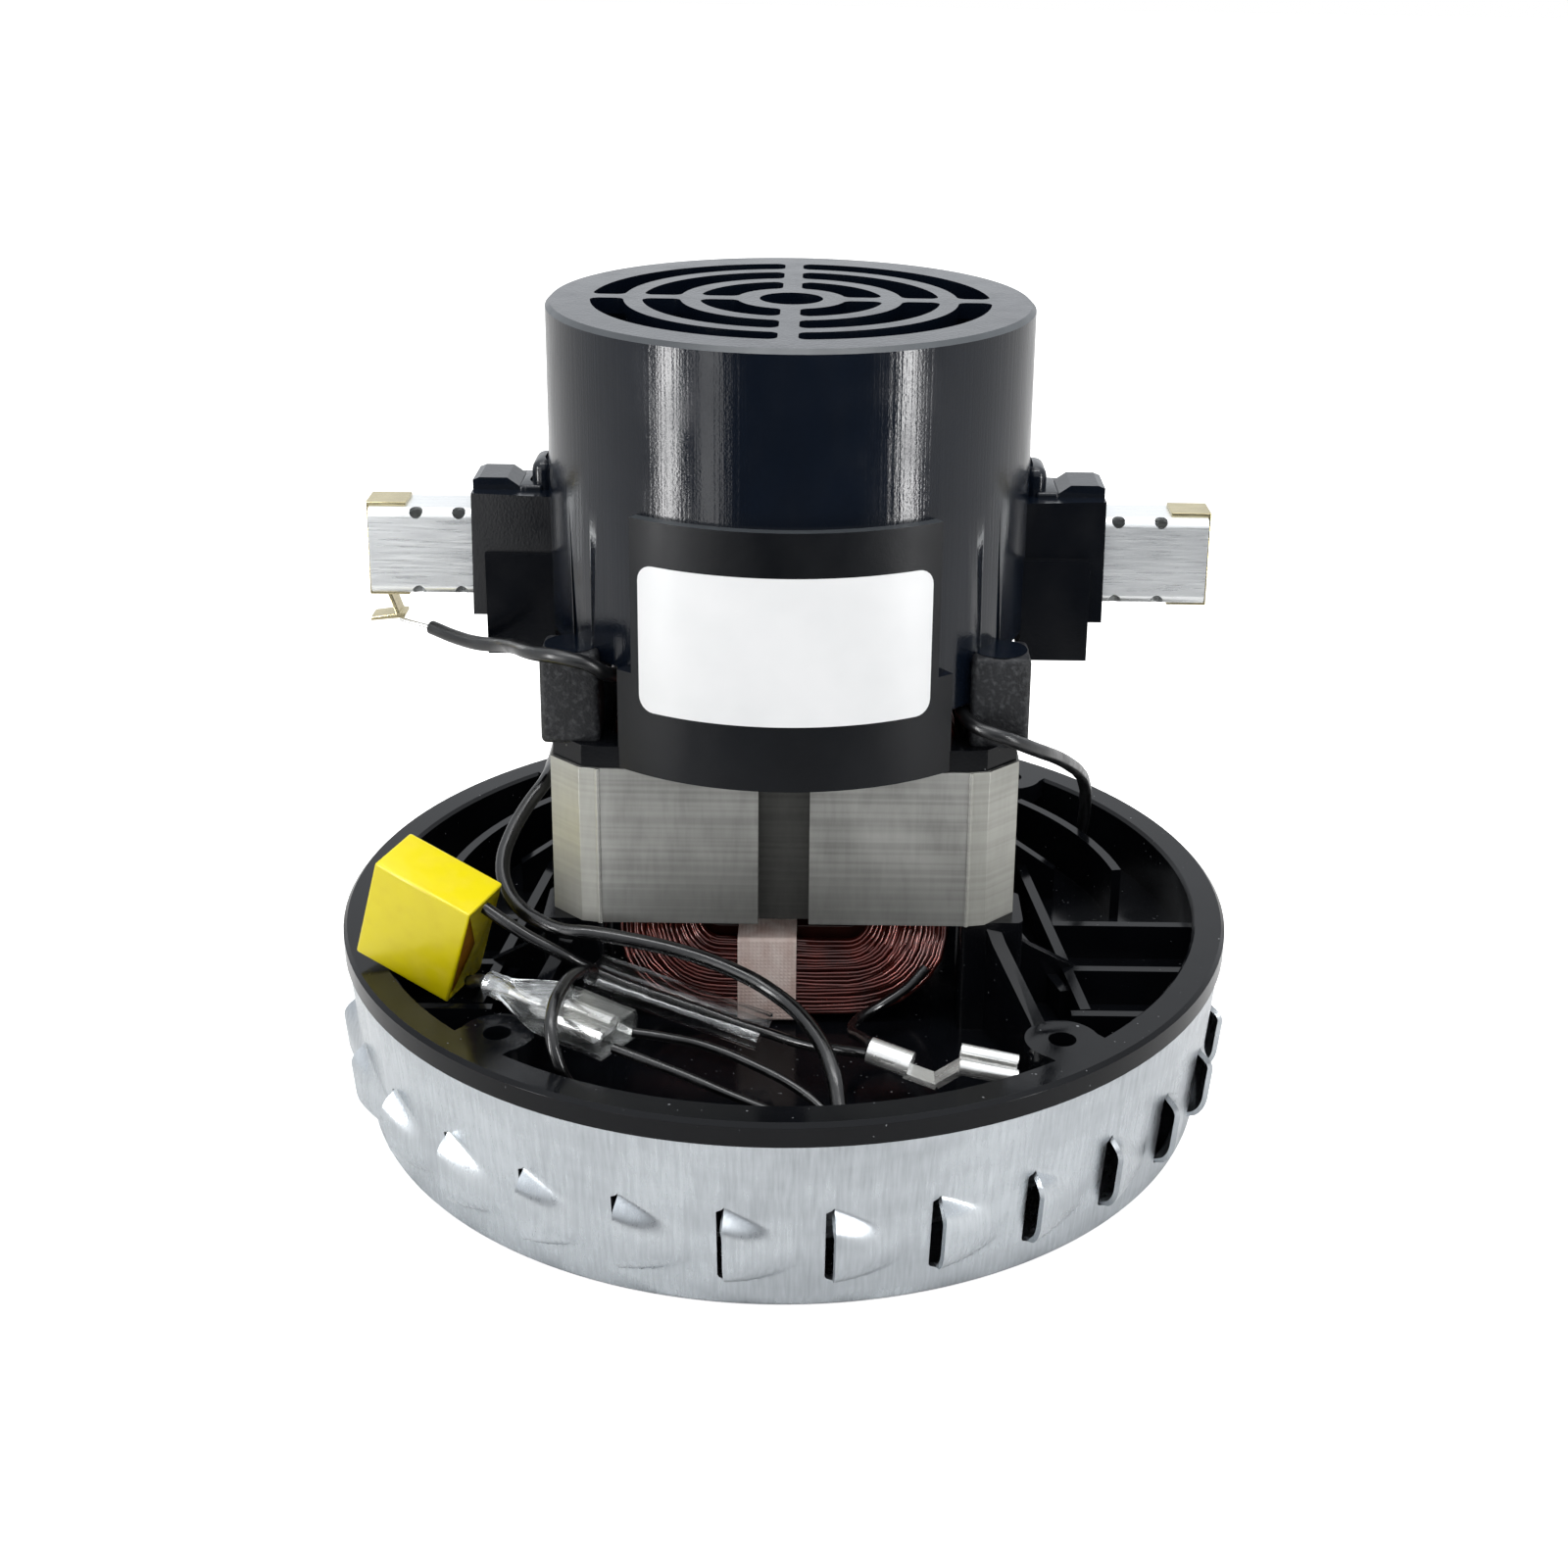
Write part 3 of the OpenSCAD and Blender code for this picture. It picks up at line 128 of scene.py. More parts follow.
@dataclass(frozen=True)
class Skin:
    """A material in the making: its nodes and the shader that they feed."""

    tree: Tree
    shader: bpy.types.Node

    def feed(self, socket: str, value: Socket) -> None:
        """Feeds one socket of the shader."""
        self.tree.links.new(value, self.shader.inputs[socket])

    def grain(self, size: Point, octaves: float = 3.0) -> Socket:
        """Adds a noise whose features have a real size.

        Args:
            size: Feature length along X, Y and Z in millimetres.
            octaves: How much fine detail lies on it.

        Returns:
            The noise, from 0 to 1.
        """
        place = add_node(self.tree, "ShaderNodeTexCoord").outputs["Object"]
        scale = tuple(1 / (s * MM) for s in size)
        turn = add_node(self.tree, "ShaderNodeMapping", inputs={"Vector": place, "Scale": scale})
        inputs = {"Vector": turn.outputs["Vector"], "Scale": 1.0, "Detail": octaves}
        return add_node(self.tree, "ShaderNodeTexNoise", inputs=inputs).outputs["Fac"]

    def stretch(self, mask: Socket, low: float, high: float, start: float = 0.3, end: float = 0.7) -> Socket:
        """Stretches a mask between two values.

        Args:
            mask: The mask, from 0 to 1.
            low: The value where the mask is at start.
            high: The value where the mask is at end.
            start: Lower end of the mask's used range.
            end: Upper end of the mask's used range.

        Returns:
            The stretched value.
        """
        inputs = {"Value": mask, "From Min": start, "From Max": end, "To Min": low, "To Max": high}
        return add_node(self.tree, "ShaderNodeMapRange", inputs=inputs).outputs["Result"]

    def blend(self, mask: Socket, first: str | Socket, second: str) -> Socket:
        """Mixes two colours by a mask; the first one may be a colour that was mixed before."""
        start = linear(first) if isinstance(first, str) else first
        inputs = {0: mask, 6: start, 7: linear(second)}
        return add_node(self.tree, "ShaderNodeMix", {"data_type": "RGBA"}, inputs).outputs[2]

    def relief(self, height: Socket, depth: float) -> None:
        """Raises the surface by a height mask, depth millimetres from its lowest to its highest point."""
        inputs = {"Height": height, "Distance": depth * MM, "Strength": 1.0}
        self.feed("Normal", add_node(self.tree, "ShaderNodeBump", inputs=inputs).outputs["Normal"])


@dataclass(frozen=True)
class Finish:
    """A surface as its maker would order it: what it is made of and how its skin was made."""

    name: str
    colour: str
    roughness: float
    metallic: float = 0.0
    ior: float = 1.5
    specular: float = 0.5

    def material(self) -> bpy.types.Material:
        """Builds the material once and gives the same one afterwards."""
        made = bpy.data.materials.get(self.name)
        if made is not None:
            return made
        made = bpy.data.materials.new(self.name)
        tree = empty_tree(made)
        inputs = {
            "Base Color": linear(self.colour),
            "Roughness": self.roughness,
            "Metallic": self.metallic,
            "IOR": self.ior,
            "Specular IOR Level": self.specular,
        }
        shader = add_node(tree, "ShaderNodeBsdfPrincipled", inputs=inputs)
        add_node(tree, "ShaderNodeOutputMaterial", inputs={"Surface": shader.outputs["BSDF"]})
        self.detail(Skin(tree, shader))
        return made

    def detail(self, skin: Skin) -> None:
        """Adds the marks of this surface; a plain finish has none."""

    def stain(
        self, skin: Skin, mask: Socket, other: str, most: float, start: float = 0.3, end: float = 0.7
    ) -> None:
        """Stains the colour towards another one.

        Args:
            skin: The material in the making.
            mask: Where the stain lies.
            other: Colour of the stain.
            most: Its share where it is strongest.
            start: The mask's value where the stain begins.
            end: The mask's value where it is strongest.
        """
        share = skin.stretch(mask, 0.0, most, start, end)
        skin.feed("Base Color", skin.blend(share, self.colour, other))

    def dull(
        self, skin: Skin, mask: Socket, less: float, more: float, start: float = 0.3, end: float = 0.7
    ) -> None:
        """Varies the gloss.

        Args:
            skin: The material in the making.
            mask: Where the skin is duller.
            less: What comes off the roughness where the mask is low.
            more: What is added to it where the mask is high.
            start: The mask's value where the change begins.
            end: The mask's value where it is complete.
        """
        gloss = skin.stretch(mask, self.roughness - less, self.roughness + more, start, end)
        skin.feed("Roughness", gloss)


@dataclass(frozen=True)
class MouldedPlastic(Finish):
    """Black glass-filled polyester or nylon, moulded in a spark-eroded tool.

    The tool leaves a fine matt grain of about a third of a millimetre, draw marks run along the way the
    part left the tool, and glass at the skin makes faint paler clouds. Dust lies on it as pale crumbs.
    """

    draw_marks: float = 0.0
    grain_depth: float = 0.012
    cloud: str = "#2a2b2e"
    dust: float = 0.0
    crumbs: tuple[float, float] = (0.775, 0.81)

    def detail(self, skin: Skin) -> None:
        """Adds clouds and dust to the colour, patches to the gloss, grain and draw marks to the relief."""
        clouds = skin.stretch(skin.grain((14, 14, 18), 5), 0.0, 0.55)
        colour = skin.blend(clouds, self.colour, self.cloud)
        if self.dust:
            pale = skin.stretch(skin.grain((0.8, 0.8, 0.8), 1), 0.0, self.dust, *self.crumbs)
            colour = skin.blend(pale, colour, "#8f9295")
        skin.feed("Base Color", colour)
        self.dull(skin, skin.grain((5, 5, 9), 4), 0.05, 0.07)
        height = skin.grain((0.35, 0.35, 0.35), 2)
        if self.draw_marks:
            marks = skin.grain((0.55, 0.55, 60), 2)
            height = maths(skin.tree, "MULTIPLY_ADD", marks, self.draw_marks, height)
        skin.relief(height, self.grain_depth)


@dataclass(frozen=True)
class RolledSheet(Finish):
    """Zinc-coated deep-drawn sheet.

    Drawing leaves fine upright streaks round the wall, and the zinc has soft cloudy patches of gloss.
    """

    streak: Point = (0.5, 0.5, 45)
    shade: str = "#8e9296"
    patchy: float = 0.1

    def detail(self, skin: Skin) -> None:
        """Adds streaks to the colour and relief, and clouds to the gloss."""
        streaks = skin.grain(self.streak, 4)
        clouds = skin.stretch(skin.grain((22, 22, 9), 4), 0.0, 0.35)
        both = maths(skin.tree, "MULTIPLY_ADD", streaks, 0.6, clouds)
        self.stain(skin, both, self.shade, 0.8, 0.2, 0.8)
        self.dull(skin, both, self.patchy, self.patchy, 0.2, 0.8)
        skin.relief(streaks, 0.006)


@dataclass(frozen=True)
class StackedLaminations(Finish):
    """Silicon steel sheets of half a millimetre, punched, stacked and cleated.

    The cut edges show as fine level lines and soft dull patches; the stack shines along them. The lines
    are drawn at 0.7 mm so that they still show from a step away.
    """

    sheet: float = 0.7
    dull_edge: str = "#6d6d69"

    def detail(self, skin: Skin) -> None:
        """Adds the sheet edges, each with its own grey, and the dull patches."""
        each = skin.grain((90, 90, self.sheet), 1)
        lines = skin.stretch(each, 0.0, 0.24, 0.35, 0.65)
        soft = skin.stretch(skin.grain((8, 8, 12), 3), 0.0, 0.3, 0.35, 0.65)
        marks = skin.stretch(skin.grain((0.8, 0.8, 5), 2), 0.0, 0.1, 0.4, 0.65)
        shade = maths(skin.tree, "ADD", lines, soft)
        worn = maths(skin.tree, "ADD", shade, marks)
        skin.feed("Base Color", skin.blend(worn, self.colour, self.dull_edge))
        self.dull(skin, shade, 0.05, 0.1, 0.0, 0.8)
        skin.relief(each, 0.012)


@dataclass(frozen=True)
class MagnetWire(Finish):
    """Copper wire under a baked clear-red enamel: a metal glow with a hard gloss over it."""

    thin: str = "#8a3a22"

    def detail(self, skin: Skin) -> None:
        """Adds places where the enamel is thinner, and its clear coat."""
        self.stain(skin, skin.grain((4, 4, 4), 3), self.thin, 0.7)
        skin.shader.inputs["Coat Weight"].default_value = 1.0
        skin.shader.inputs["Coat Roughness"].default_value = 0.08
        skin.shader.inputs["Coat Tint"].default_value = linear("#ffd9c8")


@dataclass(frozen=True)
class WovenTape(Finish):
    """Cotton tape soaked in varnish: a weave of 0.6 mm threads that light just shines through."""

    thread: float = 0.6

    def detail(self, skin: Skin) -> None:
        """Adds the weave and the uneven stain of the varnish."""
        place = add_node(skin.tree, "ShaderNodeTexCoord").outputs["Object"]
        inputs = {"Vector": place, "Scale": WAVE_PER_BAND / (self.thread * MM), "Distortion": 0.6}
        ways = ({"wave_type": "BANDS", "bands_direction": way} for way in ("X", "Z"))
        over, under = (add_node(skin.tree, "ShaderNodeTexWave", way, inputs).outputs["Fac"] for way in ways)
        self.stain(skin, skin.grain((3, 3, 5), 4), "#b98a7c", 0.6)
        skin.shader.inputs["Sheen Weight"].default_value = 0.2
        skin.relief(maths(skin.tree, "MULTIPLY", over, under), 0.05)


@dataclass(frozen=True)
class CutMetal(Finish):
    """Sheet or bar metal with a bright skin: plated, rolled or turned, scratched and handled."""

    scratch: Point = (6, 0.25, 0.25)
    shade: str = "#77726a"
    wear_and_shade: float = 0.35
    prints_and_shade_bands: Point = (4, 4, 4)

    def detail(self, skin: Skin) -> None:
        """Adds scratches along the rolling direction and dull fingerprints, which on the tubes are stretched
        into level bands of painted shade.
        """
        scratches = skin.grain(self.scratch, 3)
        self.stain(skin, skin.grain(self.prints_and_shade_bands, 5), self.shade, self.wear_and_shade, 0.4, 0.75)
        self.dull(skin, scratches, 0.06, 0.1)
        skin.relief(scratches, 0.004)


@dataclass(frozen=True)
class ExtrudedVinyl(Finish):
    """PVC insulation as it leaves the extruder: glossy, with a slow waviness and some dust."""

    dust: str = "#3a3b3d"

    def detail(self, skin: Skin) -> None:
        """Adds the waviness of the skin, and dust in patches."""
        dust = skin.grain((3.5, 3.5, 3.5), 5)
        self.stain(skin, dust, self.dust, 0.35, 0.5, 0.75)
        self.dull(skin, dust, 0.0, 0.16, 0.4, 0.7)
        skin.relief(skin.grain((1.6, 1.6, 1.6), 2), 0.03)


@dataclass(frozen=True)
class ClearFilm(Finish):
    """Clear polymer film: one sees what it mirrors, faintly across its face and brightly along its rims."""

    face: float = 0.05
    rim: float = 0.85

    def detail(self, skin: Skin) -> None:
        """Lets the eye through where the film faces it, and mirrors the room where it turns away."""
        turned = add_node(skin.tree, "ShaderNodeLayerWeight", inputs={"Blend": 0.5}).outputs["Facing"]
        skin.feed("Alpha", skin.stretch(turned, self.face, self.rim, 0.5, 1.0))
        skin.relief(skin.grain((5.0, 2.0, 2.0), 1), 0.25)


@dataclass(frozen=True)
class MouldedCase(Finish):
    """Glossy yellow flame-proof case of a film capacitor, with slight sink marks in its flats."""

    def detail(self, skin: Skin) -> None:
        """Adds the sink marks, and scuffs that dull the gloss."""
        scuffs = skin.grain((3, 3, 3), 5)
        self.dull(skin, scuffs, 0.0, 0.22, 0.45, 0.75)
        self.stain(skin, scuffs, "#d6bb00", 0.25, 0.45, 0.8)
        skin.relief(skin.grain((7, 7, 7), 2), 0.25)


@dataclass(frozen=True)
class CastResin(Finish):
    """Potting resin poured into the capacitor: amber, with a wetted meniscus and small bubbles."""

    def detail(self, skin: Skin) -> None:
        """Adds lighter swirls and bubbles."""
        self.stain(skin, skin.grain((4, 4, 4), 4), "#b3761f", 0.7)
        skin.relief(skin.grain((1.2, 1.2, 1.2), 3), 0.15)


@dataclass(frozen=True)
class PressedCarbon(Finish):
    """Brush carbon, pressed and baked: dull grey-black with a faint graphite gleam."""

    def detail(self, skin: Skin) -> None:
        """Adds graphite flakes and the pressed grain."""
        flakes = skin.grain((0.5, 0.5, 0.5), 3)
        self.stain(skin, flakes, "#4a4a4c", 0.6)
        skin.relief(flakes, 0.02)


@dataclass(frozen=True)
class CoatedPaper(Finish):
    """Label stock: white film with a slight gloss and a barely uneven glue layer."""

    def detail(self, skin: Skin) -> None:
        """Adds the glue's unevenness and a faint greying."""
        soft = skin.grain((9, 9, 9), 2)
        self.stain(skin, soft, "#e6e8e9", 0.5)
        skin.relief(soft, 0.05)


# Clean black polyester straight from the tool: a deep gloss in which upright lamps draw sharp streaks.
HOUSING_BLACK = MouldedPlastic(
    "glass_filled_polyester_housing",
    "#080e18",
    0.15,
    specular=0.37,
    draw_marks=1.6,
    grain_depth=0.018,
    cloud="#101824",
)
# The polished insert of the tool at the holders: blacker than the housing, with softer reflections.
BLOCK_BLACK = MouldedPlastic("polished_holder_moulding", "#06080d", 0.2, specular=0.25, cloud="#0c0f15")
# Glass-filled nylon of the tray: a dark mirror for the parts above it, with a few crumbs of dust.
BRACKET_BLACK = MouldedPlastic(
    "glass_filled_nylon_bracket",
    "#07080b",
    0.13,
    specular=0.17,
    grain_depth=0.006,
    cloud="#101216",
    dust=0.7,
)
# Legs that the tool didn't quite fill: a rough, mottled, greyish black.
ROUGH_BLACK = MouldedPlastic(
    "short_shot_polyester",
    "#0f1013",
    0.5,
    specular=0.3,
    grain_depth=0.12,
    cloud="#2c2e32",
    dust=0.13,
    crumbs=(0.5, 0.78),
)
# The pads under the label were textured for the glue: satin, so that the streaks end at their edge.
PAD_BLACK = MouldedPlastic("satin_pad_moulding", "#07090d", 0.36, specular=0.2, cloud="#0e1218")
# Painted highlight on the roundings of edges that look up: a thin grey line along the ledge and the rims.
EDGE_HIGHLIGHT = MouldedPlastic("painted_highlight_edge", "#44494d", 0.32, specular=0.4)
# Unfilled nylon of the fan and the commutator's hub: a soft dark grey.
FAN_BLACK = MouldedPlastic("nylon_fan", "#1c1d20", 0.4)
# Drawn zinc-coated sheet: a pale, slightly blue metal with upright streaks.
SHELL_SHEET = RolledSheet("zinc_coated_drawn_sheet", "#c4c9cd", 0.3, metallic=1.0)
# The folded tubes: brighter zinc, with level bands of painted shade laid at random heights.
TUBE_SHEET = CutMetal(
    "zinc_plated_brush_tube",
    "#eceeee",
    0.3,
    metallic=0.72,
    scratch=(9, 0.3, 0.3),
    shade="#9ba0a2",
    wear_and_shade=0.16,
    prints_and_shade_bands=(60, 60, 4.5),
)
# Yellowish plated spring clips.
CLIP_STEEL = CutMetal("brass_plated_clip", "#cbbf98", 0.25, metallic=1.0, shade="#8b7d55")
# Tinned terminals: near white with grey bends.
TINNED = CutMetal(
    "tinned_brass_terminal", "#e6e6e4", 0.24, metallic=0.8, scratch=(6, 1.5, 1.5), shade="#a9aaaa"
)
# Shaft, bearings and screws: turned or ground steel.
STEEL = CutMetal("turned_steel", "#b4b6b9", 0.28, metallic=1.0)
# The impeller: soft pressed aluminium.
IMPELLER_SHEET = CutMetal("pressed_aluminium", "#c3c6c9", 0.32, metallic=1.0, shade="#8f9193")
# Commutator bars: bare copper, browned where no brush runs.
COPPER = CutMetal("drawn_copper", "#b66a45", 0.3, metallic=1.0, shade="#6b3b24")
# Brush springs: drawn spring wire.
SPRING_STEEL = CutMetal("spring_wire", "#9c9ea1", 0.25, metallic=1.0)
# The stack's front and back: mid-grey cut edges.
LAMINATIONS = StackedLaminations("silicon_steel_stack", "#b0b0ac", 0.38, metallic=0.8)
# The stack's slanted corners: paler, because they face the lamps.
CORNER_STACK = StackedLaminations(
    "bright_corner_edges", "#a9a9a3", 0.5, metallic=0.5, dull_edge="#83837c"
)
# The clamp channel: painted shade, a darker grey because the recess lies in shadow.
SHADED_CHANNEL_STACK = StackedLaminations(
    "painted_shade_clamp_channel", "#4c4c49", 0.5, metallic=0.6, dull_edge="#2c2c2a"
)
# The armature's stack: turned after stacking, so greyer and more even.
ARMATURE_STACK = StackedLaminations("armature_stack", "#7d7c78", 0.42, metallic=0.85)
# Strands of the coils: dark red enamel with copper-coloured glints.
WIRE = MagnetWire("enamelled_copper_wire", "#3c0d07", 0.2, metallic=0.7, thin="#6b2413")
# The inner layers behind the strands: nearly black red.
WIRE_BED = MagnetWire("wound_bundle", "#200704", 0.4, metallic=0.3, thin="#38100a")
# Pinkish varnished tape round the coil.
TAPE = WovenTape("varnished_cotton_tape", "#f6e6df", 0.75)
# Leads in the tray: glossy black with a thin highlight along them.
VINYL = ExtrudedVinyl("pvc_insulation", "#060607", 0.16, dust="#1d1e20")
# Brush leads: softer black silicone over glass braid.
SILICONE = ExtrudedVinyl("glass_silicone_sleeve", "#0e0f11", 0.28, dust="#26282b")
# Sleeve over the splice: nearly unseen but for its bright edges.
CLEAR = ClearFilm("clear_polymer_sleeve", "#f4f6f6", 0.14, metallic=1.0)
# Boot over the receptacle: thicker, so milkier, over the tinned metal inside.
CLEAR_BOOT = ClearFilm("clear_vinyl_boot", "#f4f6f6", 0.2, metallic=1.0, face=0.2, rim=0.95)
# Capacitor case: lemon yellow with a faint gloss.
YELLOW_CASE = MouldedCase("yellow_flameproof_case", "#ecdb00", 0.3)
# Its potting: brown amber.
RESIN = CastResin("amber_potting", "#7c4a12", 0.28)
# The carbon brushes.
CARBON = PressedCarbon("pressed_carbon", "#252527", 0.55)
# The blank label: just off white.
LABEL_STOCK = CoatedPaper("white_label_film", "#f1f2f3", 0.35)


# Tools for shapes


def deselect_all() -> None:
    """Leaves no object selected and object mode active."""
    if bpy.context.mode != "OBJECT":
        bpy.ops.object.mode_set(mode="OBJECT")
    bpy.ops.object.select_all(action="DESELECT")


def take(obj: Obj) -> None:
    """Makes obj the one active and selected object."""
    deselect_all()
    obj.select_set(True)
    bpy.context.view_layer.objects.active = obj


def settle(obj: Obj) -> None:
    """Puts the object's place into its mesh, so that the object sits at the origin."""
    take(obj)
    bpy.ops.object.transform_apply(location=True, rotation=True, scale=True)


@contextmanager
def editing(obj: Obj) -> Iterator[None]:
    """Opens a piece for editing with all of it selected, and closes it again."""
    take(obj)
    bpy.ops.object.mode_set(mode="EDIT")
    bpy.ops.mesh.select_all(action="SELECT")
    yield
    bpy.ops.object.mode_set(mode="OBJECT")


def add_object(name: str, data: bpy.types.ID) -> Obj:
    """Puts new data into the scene as an object."""
    obj = bpy.data.objects.new(name, data)
    bpy.context.scene.collection.objects.link(obj)
    return obj


def thicken(obj: Obj, thickness: float, offset: float) -> None:
    """Gives the active sheet its thickness in millimetres, outward at an offset of 1 and inward at -1."""
    wall = obj.modifiers.new("sheet", "SOLIDIFY")
    wall.thickness = thickness * MM
    wall.offset = offset
    bpy.ops.object.modifier_apply(modifier=wall.name)


def finish_with(obj: Obj, finish: Finish) -> None:
    """Gives the whole piece one finish."""
    obj.data.materials.clear()
    obj.data.materials.append(finish.material())


def soften(obj: Obj, width: float, angle: float = 35.0, segments: int = 2) -> None:
    """Rounds the sharp edges of a piece.

    Args:
        obj: The piece.
        width: Width of the rounding in millimetres.
        angle: Edges sharper than this, in degrees, are rounded.
        segments: Steps across the rounding.
    """
    take(obj)
    bevel = obj.modifiers.new("rounding", "BEVEL")
    bevel.width = width * MM
    bevel.segments = segments
    bevel.limit_method = "ANGLE"
    bevel.angle_limit = math.radians(angle)
    bevel.harden_normals = False
    bpy.ops.object.modifier_apply(modifier=bevel.name)
    bpy.ops.object.shade_smooth_by_angle(angle=math.radians(angle))


def put(obj: Obj, body: Body, finish: Finish) -> Obj:
    """Finishes a piece, hangs it on its body and logs it.

    Args:
        obj: The piece.
        body: The body it moves with.
        finish: Its surface.

    Returns:
        The same piece.
    """
    finish_with(obj, finish)
    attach(obj, body.value)
    LOG.info("%s on %s, %s", obj.name, body.value, finish.name)
    return obj


def refined(
    node: str, body: Body, finish: Finish, rounding: float = 0.0, angle: float = 30.0
) -> Obj:
    """Stands in for a solid with a copy whose edges are rounded and whose curves are smooth.

    Args:
        node: The solid's name.
        body: The body it moves with.
        finish: Its surface.
        rounding: Width of the edge rounding in millimetres, or 0 for none.
        angle: Edges sharper than this, in degrees, stay sharp or are rounded.

    Returns:
        The copy.
    """
    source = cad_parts[node]
    obj = add_object(node + "_finished", source.data.copy())
    with editing(obj):
        bpy.ops.mesh.customdata_custom_splitnormals_clear()
        bpy.ops.mesh.remove_doubles(threshold=2e-6)
        bpy.ops.mesh.dissolve_limited(angle_limit=math.radians(0.6))
    bpy.ops.object.shade_smooth_by_angle(angle=math.radians(angle))
    if rounding:
        soften(obj, rounding, angle)
    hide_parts(node)
    return put(obj, body, finish)


def crumple(obj: Obj, size: float, depth: float, cuts: int) -> None:
    """Creases a thin soft piece.

    Args:
        obj: The piece.
        size: Distance between creases in millimetres.
        depth: Depth of a crease in millimetres.
        cuts: How often each face is divided first.
    """
    with editing(obj):
        bpy.ops.mesh.quads_convert_to_tris()
        bpy.ops.mesh.subdivide(number_cuts=cuts)
    for vertex in obj.data.vertices:
        place = vertex.co / (size * MM)
        lift = noise.noise(place) + 0.6 * noise.noise(place * 2.3 + Vector((7, 3, 1)))
        vertex.co = vertex.co + vertex.normal * (lift * depth * MM)
    bpy.ops.object.shade_smooth_by_angle(angle=math.radians(50))


def paint(obj: Obj, finish: Finish, inside: Callable[[Face], bool]) -> None:
    """Gives some faces of a piece a second finish.

    Args:
        obj: The piece.
        finish: The second finish.
        inside: Says whether a face gets it.
    """
    obj.data.materials.append(finish.material())
    index = len(obj.data.materials) - 1
    for face in obj.data.polygons:
        if inside(face):
            face.material_index = index


def rounded_step(value: float, width: float) -> float:
    """Rises from 0 to 1 in a straight line with a rounded top, and stays there.

    Args:
        value: How far along the rise.
        width: Length of the rounding.

    Returns:
        The height, from 0 to 1.
    """
    value = max(0.0, value)
    near = max(width - abs(value - 1.0), 0.0) / width
    return max(0.0, min(value, 1.0) - near * near * width / 4)


def dress(node: str, finish: Finish) -> None:
    """Gives a solid that keeps its own shape a new surface."""
    finish_with(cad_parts[node], finish)
    LOG.info("%s keeps its solid, %s", node, finish.name)


def lay(data: bpy.types.Curve, points: list[Point]) -> None:
    """Adds one smooth open way through points in millimetres to a curve."""
    spline = data.splines.new("BEZIER")
    spline.bezier_points.add(len(points) - 1)
    for knot, point in zip(spline.bezier_points, points):
        knot.co = Vector(point) * MM
        knot.handle_left_type = knot.handle_right_type = "AUTO"


def wire(name: str, points: list[Point], diameter: float, sides: int = 4, steps: int = 4) -> Obj:
    """Draws a round wire through points on one smooth open curve.

    Args:
        name: The piece's name.
        points: Route in millimetres.
        diameter: Outer diameter in millimetres.
        sides: Bevel resolution of the round section.
        steps: Curve steps between two points.

    Returns:
        The curve.
    """
    data = bpy.data.curves.new(name, "CURVE")
    data.dimensions = "3D"
    data.resolution_u = steps
    data.bevel_depth = diameter * MM / 2
    data.bevel_resolution = sides
    data.use_fill_caps = True
    lay(data, points)
    return add_object(name, data)


def wires(name: str, routes: list[list[Point]], diameter: float, sides: int = 2, steps: int = 3) -> Obj:
    """Draws many short wires as one piece.

    Args:
        name: The piece's name.
        routes: One route per wire, in millimetres.
        diameter: Diameter of each wire in millimetres.
        sides: Bevel resolution of the round section.
        steps: Curve steps between two points.

    Returns:
        The bundle as one mesh.
    """
    first = wire(name, routes[0], diameter, sides, steps)
    for route in routes[1:]:
        lay(first.data, route)
    take(first)
    bpy.ops.object.convert(target="MESH")
    return bpy.context.object


# Studio


def eased(tree: Tree, value: Socket, span: tuple[float, float], start: float | Socket, end: float) -> Socket:
    """Adds a smooth rise or fall.

    Args:
        tree: The nodes it is added to.
        value: What it follows.
        span: Values between which it runs.
        start: Its result before the span.
        end: Its result after the span.

    Returns:
        The result.
    """
    inputs = {"Value": value, "From Min": span[0], "From Max": span[1], "To Min": start, "To Max": end}
    smooth = {"interpolation_type": "SMOOTHSTEP"}
    return add_node(tree, "ShaderNodeMapRange", smooth, inputs).outputs["Result"]


def either(tree: Tree, share: Socket, first: Socket, second: Socket) -> Socket:
    """Mixes two shaders, from the first at a share of 0 to the second at 1."""
    return add_node(tree, "ShaderNodeMixShader", inputs={0: share, 1: first, 2: second}).outputs[0]


def seen_directly(tree: Tree, rays: bpy.types.Node) -> Socket:
    """Gives 1 where the camera looks, also through something clear, and 0 for all other light."""
    return maths(tree, "MAXIMUM", rays.outputs["Is Camera Ray"], rays.outputs["Is Transmission Ray"])


